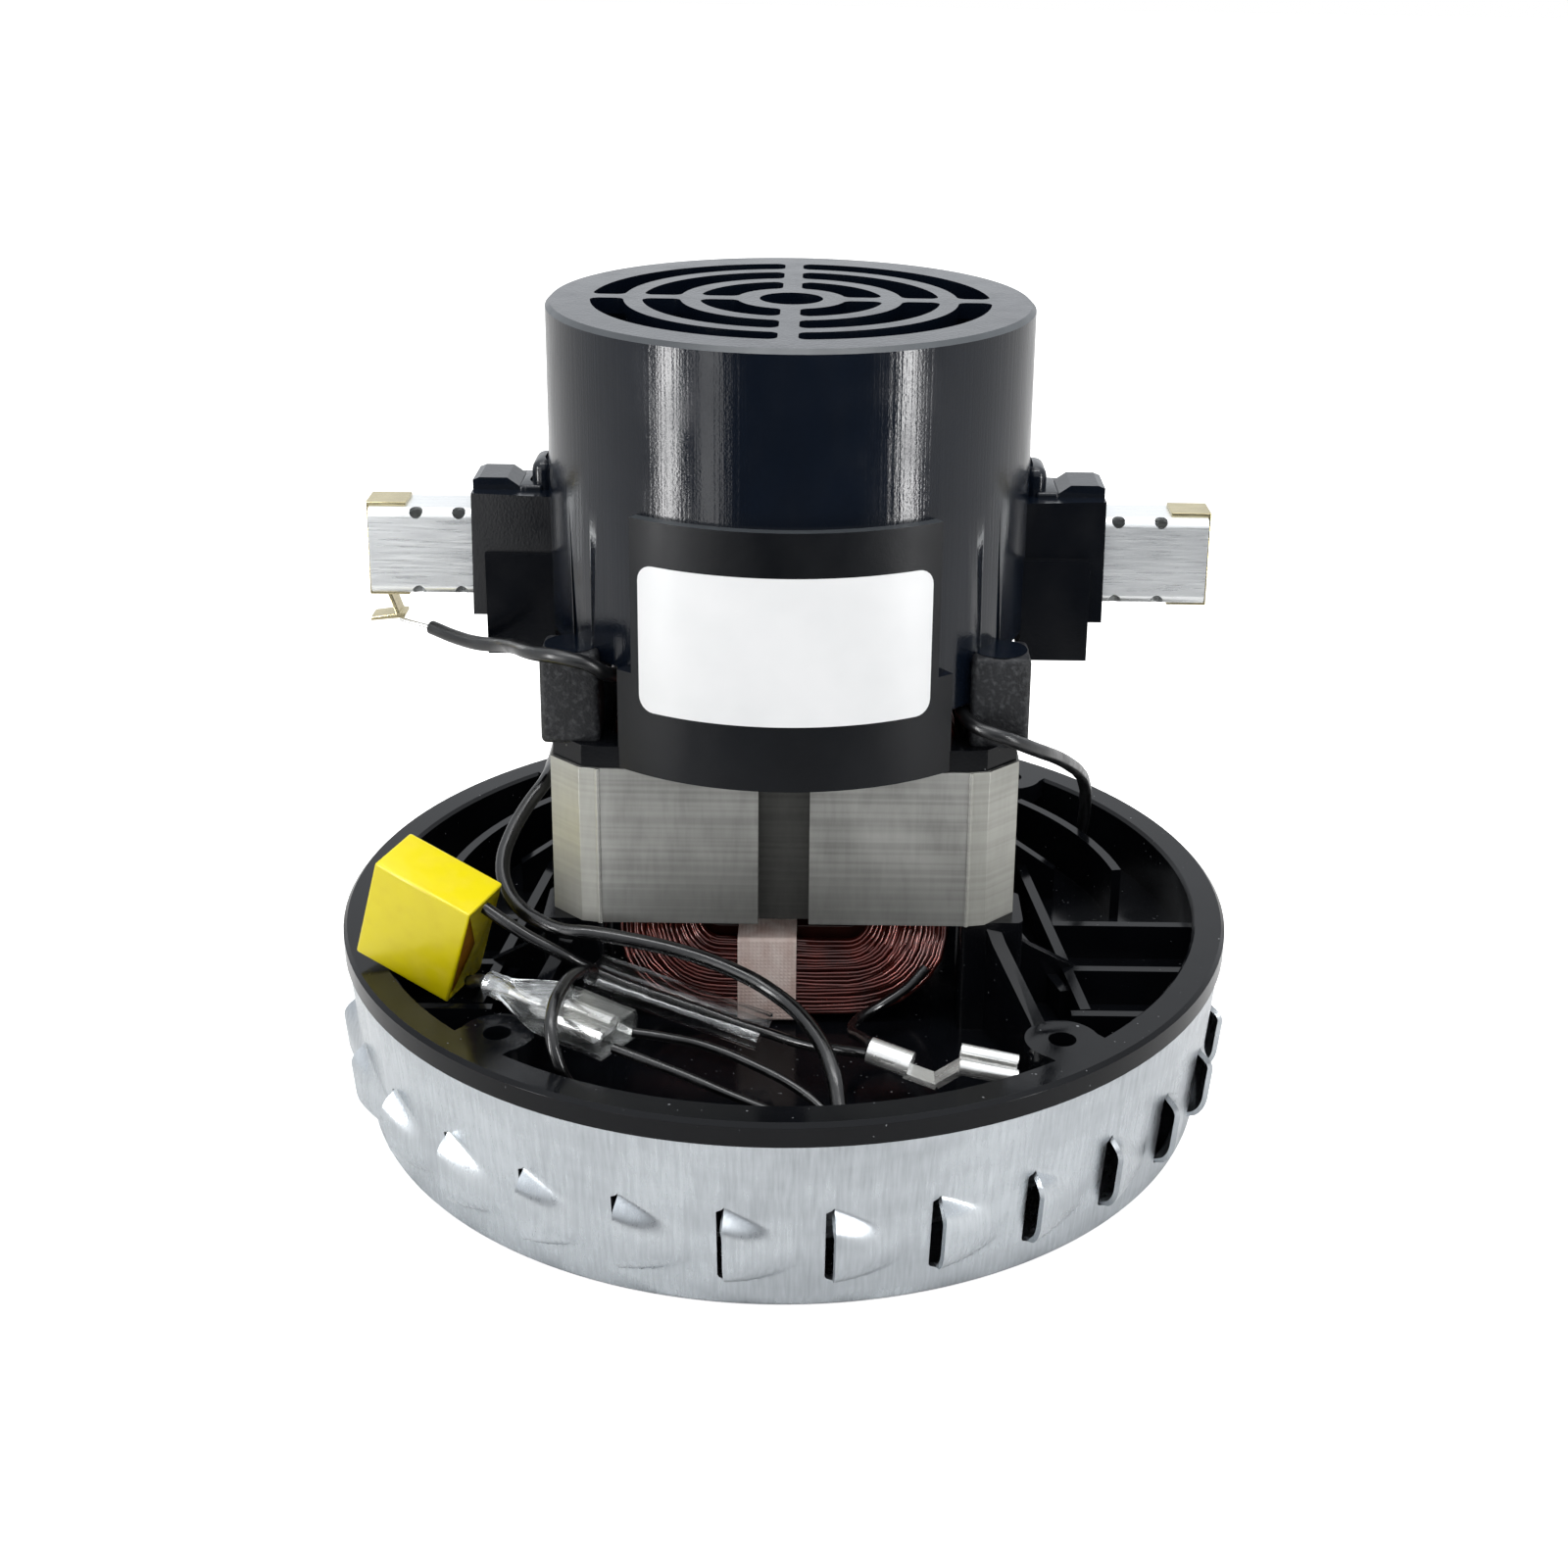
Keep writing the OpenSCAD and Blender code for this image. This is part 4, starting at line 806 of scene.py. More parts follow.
@dataclass
class Studio:
    """Camera, floor, lamps and world. The camera was fitted to the rims and edges in the photograph."""

    eye: Point = (5.19, -325.71, 191.69)
    forward: Point = (0.011425, 0.944177, -0.329241)
    up: Point = (-0.013515, 0.329379, 0.944101)
    focal: float = 49.775
    shift: tuple[float, float] = (-0.03967, -0.10084)
    strip_distance: float = 330.0
    strip_height: float = 230.0

    def camera(self) -> None:
        """Sets the camera at the photograph's viewpoint."""
        data = bpy.data.cameras.new("camera")
        data.lens = self.focal
        data.sensor_width = 36.0
        data.shift_x, data.shift_y = self.shift
        data.clip_start, data.clip_end = 0.01, 20.0
        obj = add_object("camera", data)
        ahead, up = Vector(self.forward).normalized(), Vector(self.up)
        right = ahead.cross(up).normalized()
        up = right.cross(ahead)
        turn = Matrix((right, up, -ahead)).transposed()
        obj.matrix_world = Matrix.Translation(Vector(self.eye) * MM) @ turn.to_4x4()
        bpy.context.scene.camera = obj

    def lamp(self, name: str, place: Point, aim: Point, size: tuple[float, float], watts: float) -> Obj:
        """Adds one soft box.

        Args:
            name: The lamp's name.
            place: Where it hangs, in millimetres.
            aim: The point that it faces.
            size: Width and height in millimetres.
            watts: Its power.

        Returns:
            The lamp.
        """
        data = bpy.data.lights.new(name, "AREA")
        data.shape = "RECTANGLE"
        data.size, data.size_y = size[0] * MM, size[1] * MM
        data.energy = watts
        obj = add_object(name, data)
        obj.location = Vector(place) * MM
        way = (Vector(aim) - Vector(place)).normalized()
        obj.rotation_euler = way.to_track_quat("-Z", "Y").to_euler()
        return obj

    def lamps(self) -> None:
        """Stands three upright strips for the streaks down the housing, and hangs two soft boxes over it."""
        strips = (
            ("strip_left", -53.4, 44, 0.72),
            ("strip_inner", -34, 64, 0.14),
            ("strip_right", 53.6, 34, 0.6),
        )
        middle = self.strip_height / 2
        for name, angle, width, watts in strips:
            a = math.radians(angle)
            place = (self.strip_distance * math.sin(a), -self.strip_distance * math.cos(a), middle)
            strip = self.lamp(name, place, (0, 0, middle), (width, self.strip_height), watts)
            strip.visible_diffuse = False
        self.lamp("overhead", (0, -180, 640), (0, 0, 60), (620, 60), 1.5)
        self.lamp("top", (60, 60, 900), (0, 0, 60), (700, 700), 2.8)

    def world(self) -> None:
        """Makes a world that is white for the camera, grey as light and a white room for mirrors.

        The front of the room is dark low down, where the camera stands.
        """
        world = bpy.data.worlds.new("studio")
        bpy.context.scene.world = world
        tree = empty_tree(world)
        rays = add_node(tree, "ShaderNodeLightPath")
        way = add_node(tree, "ShaderNodeTexCoord").outputs["Generated"]
        axes = add_node(tree, "ShaderNodeSeparateXYZ", inputs={0: way}).outputs
        front = eased(tree, axes["Z"], (0.0, 0.3), 0.16, 1.02)
        room = eased(tree, axes["Y"], (-0.75, -0.2), front, 1.02)
        ceiling = eased(tree, axes["Z"], (0.45, 0.75), 1.0, 1.6)
        tones = (
            ((1, 1, 1, 1), 0.8),
            ((0.93, 0.96, 1.0, 1), maths(tree, "MULTIPLY", room, ceiling)),
            ((1, 1, 1, 1), 1.0),
        )
        light, mirror, white = (
            add_node(tree, "ShaderNodeBackground", inputs={"Color": colour, "Strength": strength}).outputs[0]
            for colour, strength in tones
        )
        first = either(tree, rays.outputs["Is Glossy Ray"], light, mirror)
        both = either(tree, seen_directly(tree, rays), first, white)
        add_node(tree, "ShaderNodeOutputWorld", inputs={"Surface": both})

    def front_shade(self, tree: Tree) -> Socket:
        """Gives 1 on the part of the floor that lies far in front, and 0 on the rest of it."""
        place = add_node(tree, "ShaderNodeTexCoord").outputs["Object"]
        axes = add_node(tree, "ShaderNodeSeparateXYZ", inputs={0: place}).outputs
        reach = add_node(tree, "ShaderNodeVectorMath", {"operation": "LENGTH"}, {0: place}).outputs["Value"]
        far = eased(tree, reach, (0.165, 0.235), 0.0, 1.0)
        front = eased(tree, maths(tree, "DIVIDE", axes["Y"], reach), (-0.3, -0.66), 0.0, 1.0)
        return maths(tree, "MULTIPLY", far, front)

    def floor(self) -> None:
        """Lays a pale floor that shows white to the camera and keeps the unit's soft shadow.

        Mirrors see the part of it that lies far in front in shade, as the camera's stand shades it.
        """
        deselect_all()
        bpy.ops.mesh.primitive_plane_add(size=6.0, location=(0, 0, -0.00005))
        floor = bpy.context.object
        floor.name = "floor"
        made = bpy.data.materials.new("matt_white_floor")
        tree = empty_tree(made)
        rays = add_node(tree, "ShaderNodeLightPath")
        matt, dark = (
            add_node(tree, "ShaderNodeBsdfDiffuse", inputs={"Color": colour}).outputs[0]
            for colour in ((0.86, 0.86, 0.86, 1), (0.06, 0.07, 0.09, 1))
        )
        none, glow = (
            add_node(tree, "ShaderNodeEmission", inputs={"Color": colour, "Strength": strength}).outputs[0]
            for colour, strength in (((0, 0, 0, 1), 0.0), ((1, 1, 1, 1), 0.78))
        )
        shaded = maths(tree, "MULTIPLY", rays.outputs["Is Glossy Ray"], self.front_shade(tree))
        skin = either(tree, shaded, matt, dark)
        lift = either(tree, seen_directly(tree, rays), none, glow)
        total = add_node(tree, "ShaderNodeAddShader", inputs={0: skin, 1: lift}).outputs[0]
        add_node(tree, "ShaderNodeOutputMaterial", inputs={"Surface": total})
        floor.data.materials.append(made)
        settle(floor)

    def build(self) -> None:
        """Sets the whole studio."""
        bpy.context.scene.view_settings.view_transform = "Standard"
        self.camera()
        self.lamps()
        self.world()
        self.floor()


# Leads


@dataclass
class Wiring:
    """Leads, sleeves and terminals in the tray, with their routes as laid."""

    main_d: float = 2.3
    brush_d: float = 2.2
    jumper_d: float = 1.9
    thin_d: float = 1.4
    supply_d: float = 1.6

    def routes(self) -> dict[str, list[Point]]:
        """Gives the routes of the leads as points in millimetres, the same as the solids follow."""
        return {
            "main": [
                (-15, 29.4, 33.5), (-19, 32, 37.5), (-25, 35.4, 41.5), (-32, 35.8, 44), (-38, 30.5, 47),
                (-39, 20, 50.5), (-38.4, 10, 52.8), (-38, 0, 54), (-38.4, -8, 54), (-41, -12, 51.2),
                (-42.9, -16, 48.3), (-43.7, -20, 45.5), (-42.7, -23.8, 43.1), (-40.2, -27.2, 41.3),
                (-37, -29.9, 40.5), (-33.4, -31.9, 40), (-29, -32.7, 40), (-23.4, -33.4, 39.4),
                (-15.9, -34.8, 38.4), (-8.5, -37.2, 37), (-1.1, -41.2, 34.9), (4.8, -48.2, 32.6),
                (7.7, -54.6, 29.6), (8.6, -58.8, 26.3),
            ],
            "capacitor": [
                (-44.6, -33.1, 44.3), (-41.2, -34.3, 42.4), (-37.5, -35.1, 40.3), (-33, -35.4, 37.9),
                (-29.6, -34.9, 35.5), (-25, -35.3, 33.5), (-20, -36.7, 32.3),
            ],
            "splice": [
                (-20, -36.7, 32.3), (-17.5, -37.3, 31.8), (-15, -38, 31.2), (-12, -38.8, 30.6),
                (-9, -39.7, 29.9), (-5.5, -40.7, 29.1), (-2, -41.7, 28.5), (0.5, -42.9, 28.3),
                (3, -44.3, 28.3), (5.5, -45.6, 28.5), (8, -46.8, 28.9), (9.2, -47.4, 29.05),
                (10.4, -47.9, 29.2), (11.5, -48.5, 29.35), (12.6, -49, 29.5),
            ],
            "tail": [
                (-47.8, -29.8, 30.1), (-47.2, -31.4, 30.8), (-46.4, -34, 32.4), (-45.2, -37, 34.2),
                (-43.9, -39.2, 35.1),
            ],
            "jumper": [
                (-28.1, -37.6, 36.1), (-29.2, -40, 37.5), (-30.8, -44.5, 38.7), (-31.6, -48, 38.8),
                (-32.2, -51.6, 38.2), (-32.2, -55.4, 36), (-31.2, -57.4, 32.8), (-29.6, -57.4, 29),
                (-26.6, -57.2, 25.4), (-21.5, -57.8, 23.5), (-13, -60.3, 23.2), (-3, -62.6, 23.2),
                (4, -63, 23.5), (7.4, -62.3, 24.4),
            ],
            "thin_a": [
                (-21.2, -51.3, 33.9), (-16, -51, 32.9), (-10.8, -50.6, 31.4), (-3, -53, 29.4),
                (3.4, -56, 27.2), (7.3, -58.9, 25.2),
            ],
            "thin_b": [
                (-23.6, -55.2, 33.6), (-18, -56.9, 32.3), (-12, -58.4, 30.6), (-6, -59.8, 28.6),
                (0, -60.6, 26.6), (7.3, -60.8, 24.9),
            ],
            "supply": [
                (22, -29.1, 33), (19, -30.2, 30), (15, -32, 28), (11.5, -35.5, 27.4), (10.6, -40, 28),
                (12, -44, 29.2), (13.2, -47.2, 30),
            ],
            "brush_left": [
                (-25.2, -18.5, 77.6), (-25.2, -24, 78.4), (-26.5, -28, 80.1), (-28.6, -30.2, 82.2),
                (-32, -30.4, 83.2), (-36.8, -27.4, 82.8), (-40.5, -20.5, 81.2), (-43.5, -14.6, 79.4),
                (-47.5, -11, 78.3), (-51.5, -7.6, 78), (-55.9, -4.2, 78.4),
            ],
            "brush_right": [
                (26.3, -20.6, 73.4), (26.6, -25.4, 73.2), (28.7, -29.4, 72.7), (32, -30.4, 71.8),
                (36.4, -27.6, 69), (41.5, -18, 63.5), (45.5, -6, 57), (48.5, 8, 50), (51, 20, 43.2),
                (52.4, 27, 37), (52.4, 30, 29.5), (50.5, 30, 23.6),
            ],
        }

    def free_cords(self) -> None:
        """Lays the two free cords with the terminals on their ends."""
        ways = self.routes()
        joint = refined("joint_terminal", Body.FRAME, TINNED, 0.15)
        main = wire("main_lead_insulation", ways["main"], self.main_d, 6, 6)
        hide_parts("main_lead")
        put(main, Body.FRAME, VINYL)
        supply = refined("supply_terminal", Body.FRAME, TINNED, 0.15)
        splice = wire("splice_lead_insulation", ways["splice"], self.supply_d, 6, 4)
        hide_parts("splice_lead")
        put(splice, Body.FRAME, VINYL)

    def held_leads(self) -> None:
        """Lays the short leads that the unit holds at both ends."""
        ways = self.routes()
        plan = (
            ("capacitor_lead", "capacitor", self.jumper_d, VINYL),
            ("jumper_lead", "jumper", self.jumper_d, VINYL),
            ("supply_lead", "supply", self.supply_d, VINYL),
            ("brush_lead_left", "brush_left", self.brush_d, SILICONE),
            ("brush_lead_right", "brush_right", self.brush_d, SILICONE),
        )
        for node, way, diameter, finish in plan:
            piece = wire(node + "_insulation", ways[way], diameter, 6, 6)
            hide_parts(node)
            put(piece, Body.FRAME, finish)
        thin = wire("thin_lead_back", ways["thin_a"], self.thin_d, 6, 6)
        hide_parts("thin_leads")
        put(thin, Body.FRAME, VINYL)
        put(wire("thin_lead_front", ways["thin_b"], self.thin_d, 6, 6), Body.FRAME, VINYL)

    def bare_ends(self) -> None:
        """Adds the bare conductors that show at the ends of the insulation."""
        pin = [(-47.2, -32.3, 45.6), (-46.4, -32.6, 45.2), (-44.6, -33.1, 44.3), (-43.4, -33.5, 43.6)]
        brush = [(-55, -4.7, 78.3), (-56.9, -3.8, 78.5), (-59, -2.9, 78.7), (-61.2, -1.8, 78.9)]
        ends = {"capacitor_pin": (pin, 0.8), "brush_wire_left": (brush, 0.7)}
        for name, (points, diameter) in ends.items():
            put(wire(name, points, diameter, 4, 4), Body.FRAME, TINNED)

    def sleeves(self) -> None:
        """Adds the clear boot, the clear sleeve and the sleeved tail that runs into the boot."""
        boot = refined("terminal_boot", Body.FRAME, CLEAR_BOOT, 0.0, 40)
        crumple(boot, 3.5, 0.16, 3)
        crumple(refined("clear_sleeve", Body.FRAME, CLEAR, 0.0, 40), 4.5, 0.2, 3)
        refined("booted_terminal", Body.FRAME, TINNED, 0.12)
        tail = wire("capacitor_tail_sleeve", self.routes()["tail"], 1.9, 6, 8)
        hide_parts("capacitor_tail")
        put(tail, Body.FRAME, SILICONE)

    def build(self) -> None:
        """Lays every lead, the free cords first."""
        self.free_cords()
        self.held_leads()
        self.bare_ends()
        self.sleeves()


@dataclass
class Capacitor:
    """Yellow film capacitor lying against the rim, with its resin face to the right."""

    rounding: float = 0.5

    def build(self) -> None:
        """Finishes the case and its resin."""
        refined("capacitor_case", Body.FRAME, YELLOW_CASE, self.rounding)
        refined("capacitor_potting", Body.FRAME, RESIN, 0.2)


# Stator


@dataclass
class FieldCoil:
    """One field coil: two strands in slightly uneven loops across the face and down the outer side."""

    strand: float = 0.7
    pitch: float = 0.62
    side_pitch: float = 0.64
    face_loops: int = 20
    side_loops: int = 8
    stray: float = 0.5
    half_width: float = 12.9
    half_height: float = 17.0
    corner: float = 3.0
    bulge_low: float = 3.8
    bulge_top: float = 0.9
    bend: float = 7.0
    stack: float = 25.2
    face_y: float = 23.295
    mid_z: float = 53.1

    def bulge(self, dz: float) -> float:
        """How far a strand stands out past the slot at a height from the middle of the stack."""
        u = min(1.0, max(0.0, (abs(dz) - self.stack / 2 - 0.6) / self.bend))
        return (self.bulge_low if dz < 0 else self.bulge_top) * u * u * (3 - 2 * u)

    def point(self, i: int) -> Point:
        """Gives one point of the strand; a loop has 24."""
        n, k = i / 24, i % 24
        quarter, step = divmod(k, 6)
        cx, cz = self.half_width - self.corner, self.half_height - self.corner
        sx, sz = ((1, 1), (-1, 1), (-1, -1), (1, -1))[quarter]
        if step < 5:
            a, centre = math.radians(90 * quarter + 22.5 * step), (sx * cx, sz * cz)
        else:
            a = math.radians(90 * (quarter + 1))
            centre = (0.0, sz * cz) if quarter % 2 == 0 else (sx * cx, 0.0)
        r = self.corner + self.pitch * min(n, self.face_loops)
        x, dz = centre[0] + r * math.cos(a), centre[1] + r * math.sin(a)
        past = n - self.face_loops
        back = 0.0
        if past > 0:
            part = past - math.floor(past)
            back = self.side_pitch * (math.floor(past) + math.sqrt(part * (2 - part)))
        return (x, -self.face_y - self.bulge(dz) + back, self.mid_z + dz)

    def route(self, turn: int, layer: int) -> list[Point]:
        """Gives the points of one strand.

        Args:
            turn: 1 for the front coil and -1 for the back one.
            layer: Which strand it is, from 0.

        Returns:
            The points, each a little off its even place.
        """
        count = 24 * (self.face_loops + self.side_loops) + 1
        points = []
        for i in range(count):
            x, y, z = self.point(i)
            at = Vector((x / 9.0, z / 9.0, i / 24 * 0.7 + 31 * layer))
            off = noise.noise_vector(at) * self.stray
            inward = 0.42 * layer + abs(off.y)
            points.append((turn * (x + off.x), turn * (y + inward), z + off.z))
        return points

    def build(self) -> None:
        """Winds both coils and finishes the bundles behind them."""
        for name, turn in (("front", 1), ("back", -1)):
            routes = [self.route(turn, 0), self.route(turn, 1)]
            strand = wires(f"field_strand_{name}", routes, self.strand, 2, 2)
            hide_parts(f"field_winding_{name}")
            put(strand, Body.FRAME, WIRE)
            refined(f"field_coil_{name}", Body.FRAME, WIRE_BED, 0.3)


@dataclass
class Stator:
    """Lamination stack with its insulating plate, screws and taped coils."""

    half_w: float = 35.2
    corner: float = 7.6
    channel: float = 4.9
    face: float = 27.0

    def on_corner(self, face: Face) -> bool:
        """Says whether a face is one of the slanted corners or an outer side."""
        return abs(face.center.x) > (self.half_w - self.corner) * MM

    def in_channel(self, face: Face) -> bool:
        """Says whether a face lies in the clamp channel down the middle of the front or the back."""
        return abs(face.center.x) < self.channel * MM and abs(face.center.y) > self.face * MM

    def build(self) -> None:
        """Finishes the stack, plate, screws and tape."""
        core = refined("stator_core", Body.FRAME, LAMINATIONS, 0.12)
        paint(core, CORNER_STACK, self.on_corner)
        # The recessed clamp channel gets painted shade.
        paint(core, SHADED_CHANNEL_STACK, self.in_channel)
        refined("stator_end_plate", Body.FRAME, BRACKET_BLACK, 0.3)
        refined("stator_screws", Body.FRAME, STEEL, 0.1)
        refined("coil_tape", Body.FRAME, TAPE, 0.0)
        FieldCoil().build()


# Housing


@dataclass
class Label:
    """Blank label wrapped on the front pad."""

    radius: float = 38.84
    half_width: float = 21.0
    low: float = 76.2
    high: float = 98.4
    corner: float = 2.4
    thickness: float = 0.12
    folds: int = 20

    def build(self) -> None:
        """Cuts a flat label, rounds its corners and wraps it on the pad."""
        deselect_all()
        bpy.ops.mesh.primitive_plane_add(size=1.0, location=(0, 0, 0))
        label = bpy.context.object
        label.name = "blank_label"
        arc = self.radius * math.asin(self.half_width / self.radius)
        label.scale = (2 * arc * MM, (self.high - self.low) * MM, 1)
        settle(label)
        with editing(label):
            bpy.ops.mesh.bevel(offset=self.corner * MM, segments=6, affect="VERTICES")
            for i in range(1 - self.folds, self.folds):
                bpy.ops.mesh.select_all(action="SELECT")
                bpy.ops.mesh.bisect(plane_co=(i / self.folds * arc * MM, 0, 0), plane_no=(1, 0, 0))
        middle = (self.low + self.high) / 2
        for vertex in label.data.vertices:
            r = self.radius * MM
            angle = vertex.co.x / r
            vertex.co = Vector((r * math.sin(angle), -r * math.cos(angle), middle * MM + vertex.co.y))
        with editing(label):
            bpy.ops.mesh.normals_make_consistent(inside=False)
        if label.data.polygons[0].normal.y > 0:
            label.data.flip_normals()
        thicken(label, self.thickness, 1.0)
        bpy.ops.object.shade_smooth_by_angle(angle=math.radians(30))
        put(label, Body.FRAME, LABEL_STOCK)


@dataclass
class Housing:
    """Upper housing with its grille, the spider that carries the upper bearing, and the label."""

    rounding: float = 0.5
    leg_x: float = 31.8
    leg_y: float = 23.4
    leg_half: float = 4.35
    leg_low: float = 68.6
    leg_high: float = 82.9
    leg_slim: float = 0.84
    leg_reach: float = 5.2
    leg_joint: float = 0.2
    block_in: float = 38.7
    pad_r: float = 38.2
    ledge_y: float = 24.0
    ledge_z: float = 104.8
    web: Point = (3.6, 9.0, 4.6)
    web_x: float = 39.7
    web_up: float = 0.9
    block_half_y: float = 11.6
    cap_in: float = 37.6
    cap_base: float = 100.9
    cap_height: float = 4.0
    cap_share: float = 0.5
    cap_depth: float = 0.8
    cap_slope: float = 1.6
    slope_from: float = 43.6
    slope_run: float = 2.0
    fin_half: float = 1.3
    fin_reach: float = 42.2
    shoulder: Point = (3.4, 8.0, 6.2)
    shoulder_x: float = 37.9
    shoulder_sunk: float = 1.6
    upright: float = 0.2
    flat: float = 0.95

    def on_pad(self, face: Face) -> bool:
        """Says whether a face is the front of one of the two raised pads."""
        x, y = abs(face.center.x) / MM, abs(face.center.y) / MM
        return math.hypot(x, y) > self.pad_r and x < y and abs(face.normal.z) < self.upright

    def on_edge(self, face: Face) -> bool:
        """Says whether a face is the rounding of an edge that looks up, which gets a painted highlight."""
        x, z = abs(face.center.x) / MM, face.center.z / MM
        if abs(z - self.ledge_z) < 1 and abs(face.center.y) > self.ledge_y * MM:
            return face.normal.z > self.upright
        return self.upright < face.normal.z < self.flat and not (x > self.shoulder_x and z > self.cap_base)

    def on_block(self, face: Face) -> bool:
        """Says whether a face belongs to one of the two brush holders."""
        place = face.center / MM
        return abs(place.x) > self.block_in and abs(place.y) < self.block_half_y and place.z < self.cap_base

    def lower_caps(self, housing: Obj) -> None:
        """Lowers the caps on the holders, draws out their inner slope, and sinks the fins behind them."""
        for vertex in housing.data.vertices:
            x, y, z = vertex.co / MM
            if abs(x) < self.cap_in or z < self.cap_base:
                continue
            if abs(y) > self.fin_half:
                share = min(1.0, (z - self.cap_base) / self.cap_height)
                inner = max(0.0, min(1.0, (self.slope_from - abs(x)) / self.slope_run))
                vertex.co.x += math.copysign(self.cap_slope * inner * share, x) * MM
                vertex.co.y = y * self.cap_depth * MM
            elif abs(x) < self.fin_reach:
                vertex.co.z = self.cap_base * MM
                continue
            vertex.co.z = (self.cap_base + (z - self.cap_base) * self.cap_share) * MM

    def slim_legs(self, housing: Obj) -> None:
        """Draws the round legs in, so that the square skins stand clear round them."""
        for vertex in housing.data.vertices:
            x, y, z = vertex.co / MM
            middle = Vector((math.copysign(self.leg_x, x), math.copysign(self.leg_y, y)))
            off = Vector((x, y)) - middle
            if self.leg_low < z < self.leg_high - self.leg_joint and off.length < self.leg_reach:
                place = middle + off * self.leg_slim
                vertex.co.x, vertex.co.y = place.x * MM, place.y * MM

    def rounded_box(self, name: str, middle: Point, size: Point, rounding: float, finish: Finish) -> None:
        """Adds one small moulded block.

        Args:
            name: The piece's name.
            middle: Its centre in millimetres.
            size: Its size in millimetres.
            rounding: Radius of its edges in millimetres.
            finish: Its surface.
        """
        deselect_all()
        bpy.ops.mesh.primitive_cube_add(size=1.0, location=tuple(c * MM for c in middle))
        box = bpy.context.object
        box.name = name
        box.scale = tuple(c * MM for c in size)
        settle(box)
        soften(box, rounding, 40, 4)
        put(box, Body.FRAME, finish)

    def build(self) -> None:
        """Finishes the housing and the spider, squares the legs and sticks the label on."""
        housing = refined("upper_housing", Body.FRAME, HOUSING_BLACK, self.rounding)
        self.lower_caps(housing)
        self.slim_legs(housing)
        paint(housing, BLOCK_BLACK, self.on_block)
        paint(housing, PAD_BLACK, self.on_pad)
        # Roundings of edges that look up get a painted highlight.
        paint(housing, EDGE_HIGHLIGHT, self.on_edge)
        middle_z = (self.leg_low + self.leg_high) / 2
        for side, x in (("left", -self.leg_x), ("right", self.leg_x)):
            for end, y in (("front", -self.leg_y), ("back", self.leg_y)):
                size = (2 * self.leg_half, 2 * self.leg_half, self.leg_high - self.leg_low)
                self.rounded_box(f"housing_leg_{side}_{end}", (x, y, middle_z), size, 0.9, ROUGH_BLACK)
            shoulder_z = self.cap_base + self.shoulder[2] / 2 - self.shoulder_sunk
            place = (math.copysign(self.shoulder_x, x), 0, shoulder_z)
            self.rounded_box(f"holder_shoulder_{side}", place, self.shoulder, 1.5, HOUSING_BLACK)
            place = (math.copysign(self.web_x, x), 0, self.cap_base + self.web_up - self.web[2] / 2)
            self.rounded_box(f"holder_web_{side}", place, self.web, 0.5, HOUSING_BLACK)
        refined("upper_bearing_bracket", Body.FRAME, BRACKET_BLACK, 0.3)
        Label().build()


@dataclass
class BrushGear:
    """Brush tubes, clips, carbons and springs."""

    def build(self) -> None:
        """Finishes both sides."""
        for side, body in (("left", Body.BRUSH_LEFT), ("right", Body.BRUSH_RIGHT)):
            refined(f"brush_tube_{side}", Body.FRAME, TUBE_SHEET, 0.1)
            refined(f"brush_clip_{side}", Body.FRAME, CLIP_STEEL, 0.12)
            refined(f"carbon_brush_{side}", body, CARBON, 0.2)
            dress(f"brush_spring_{side}", SPRING_STEEL)


# Fan and rotor


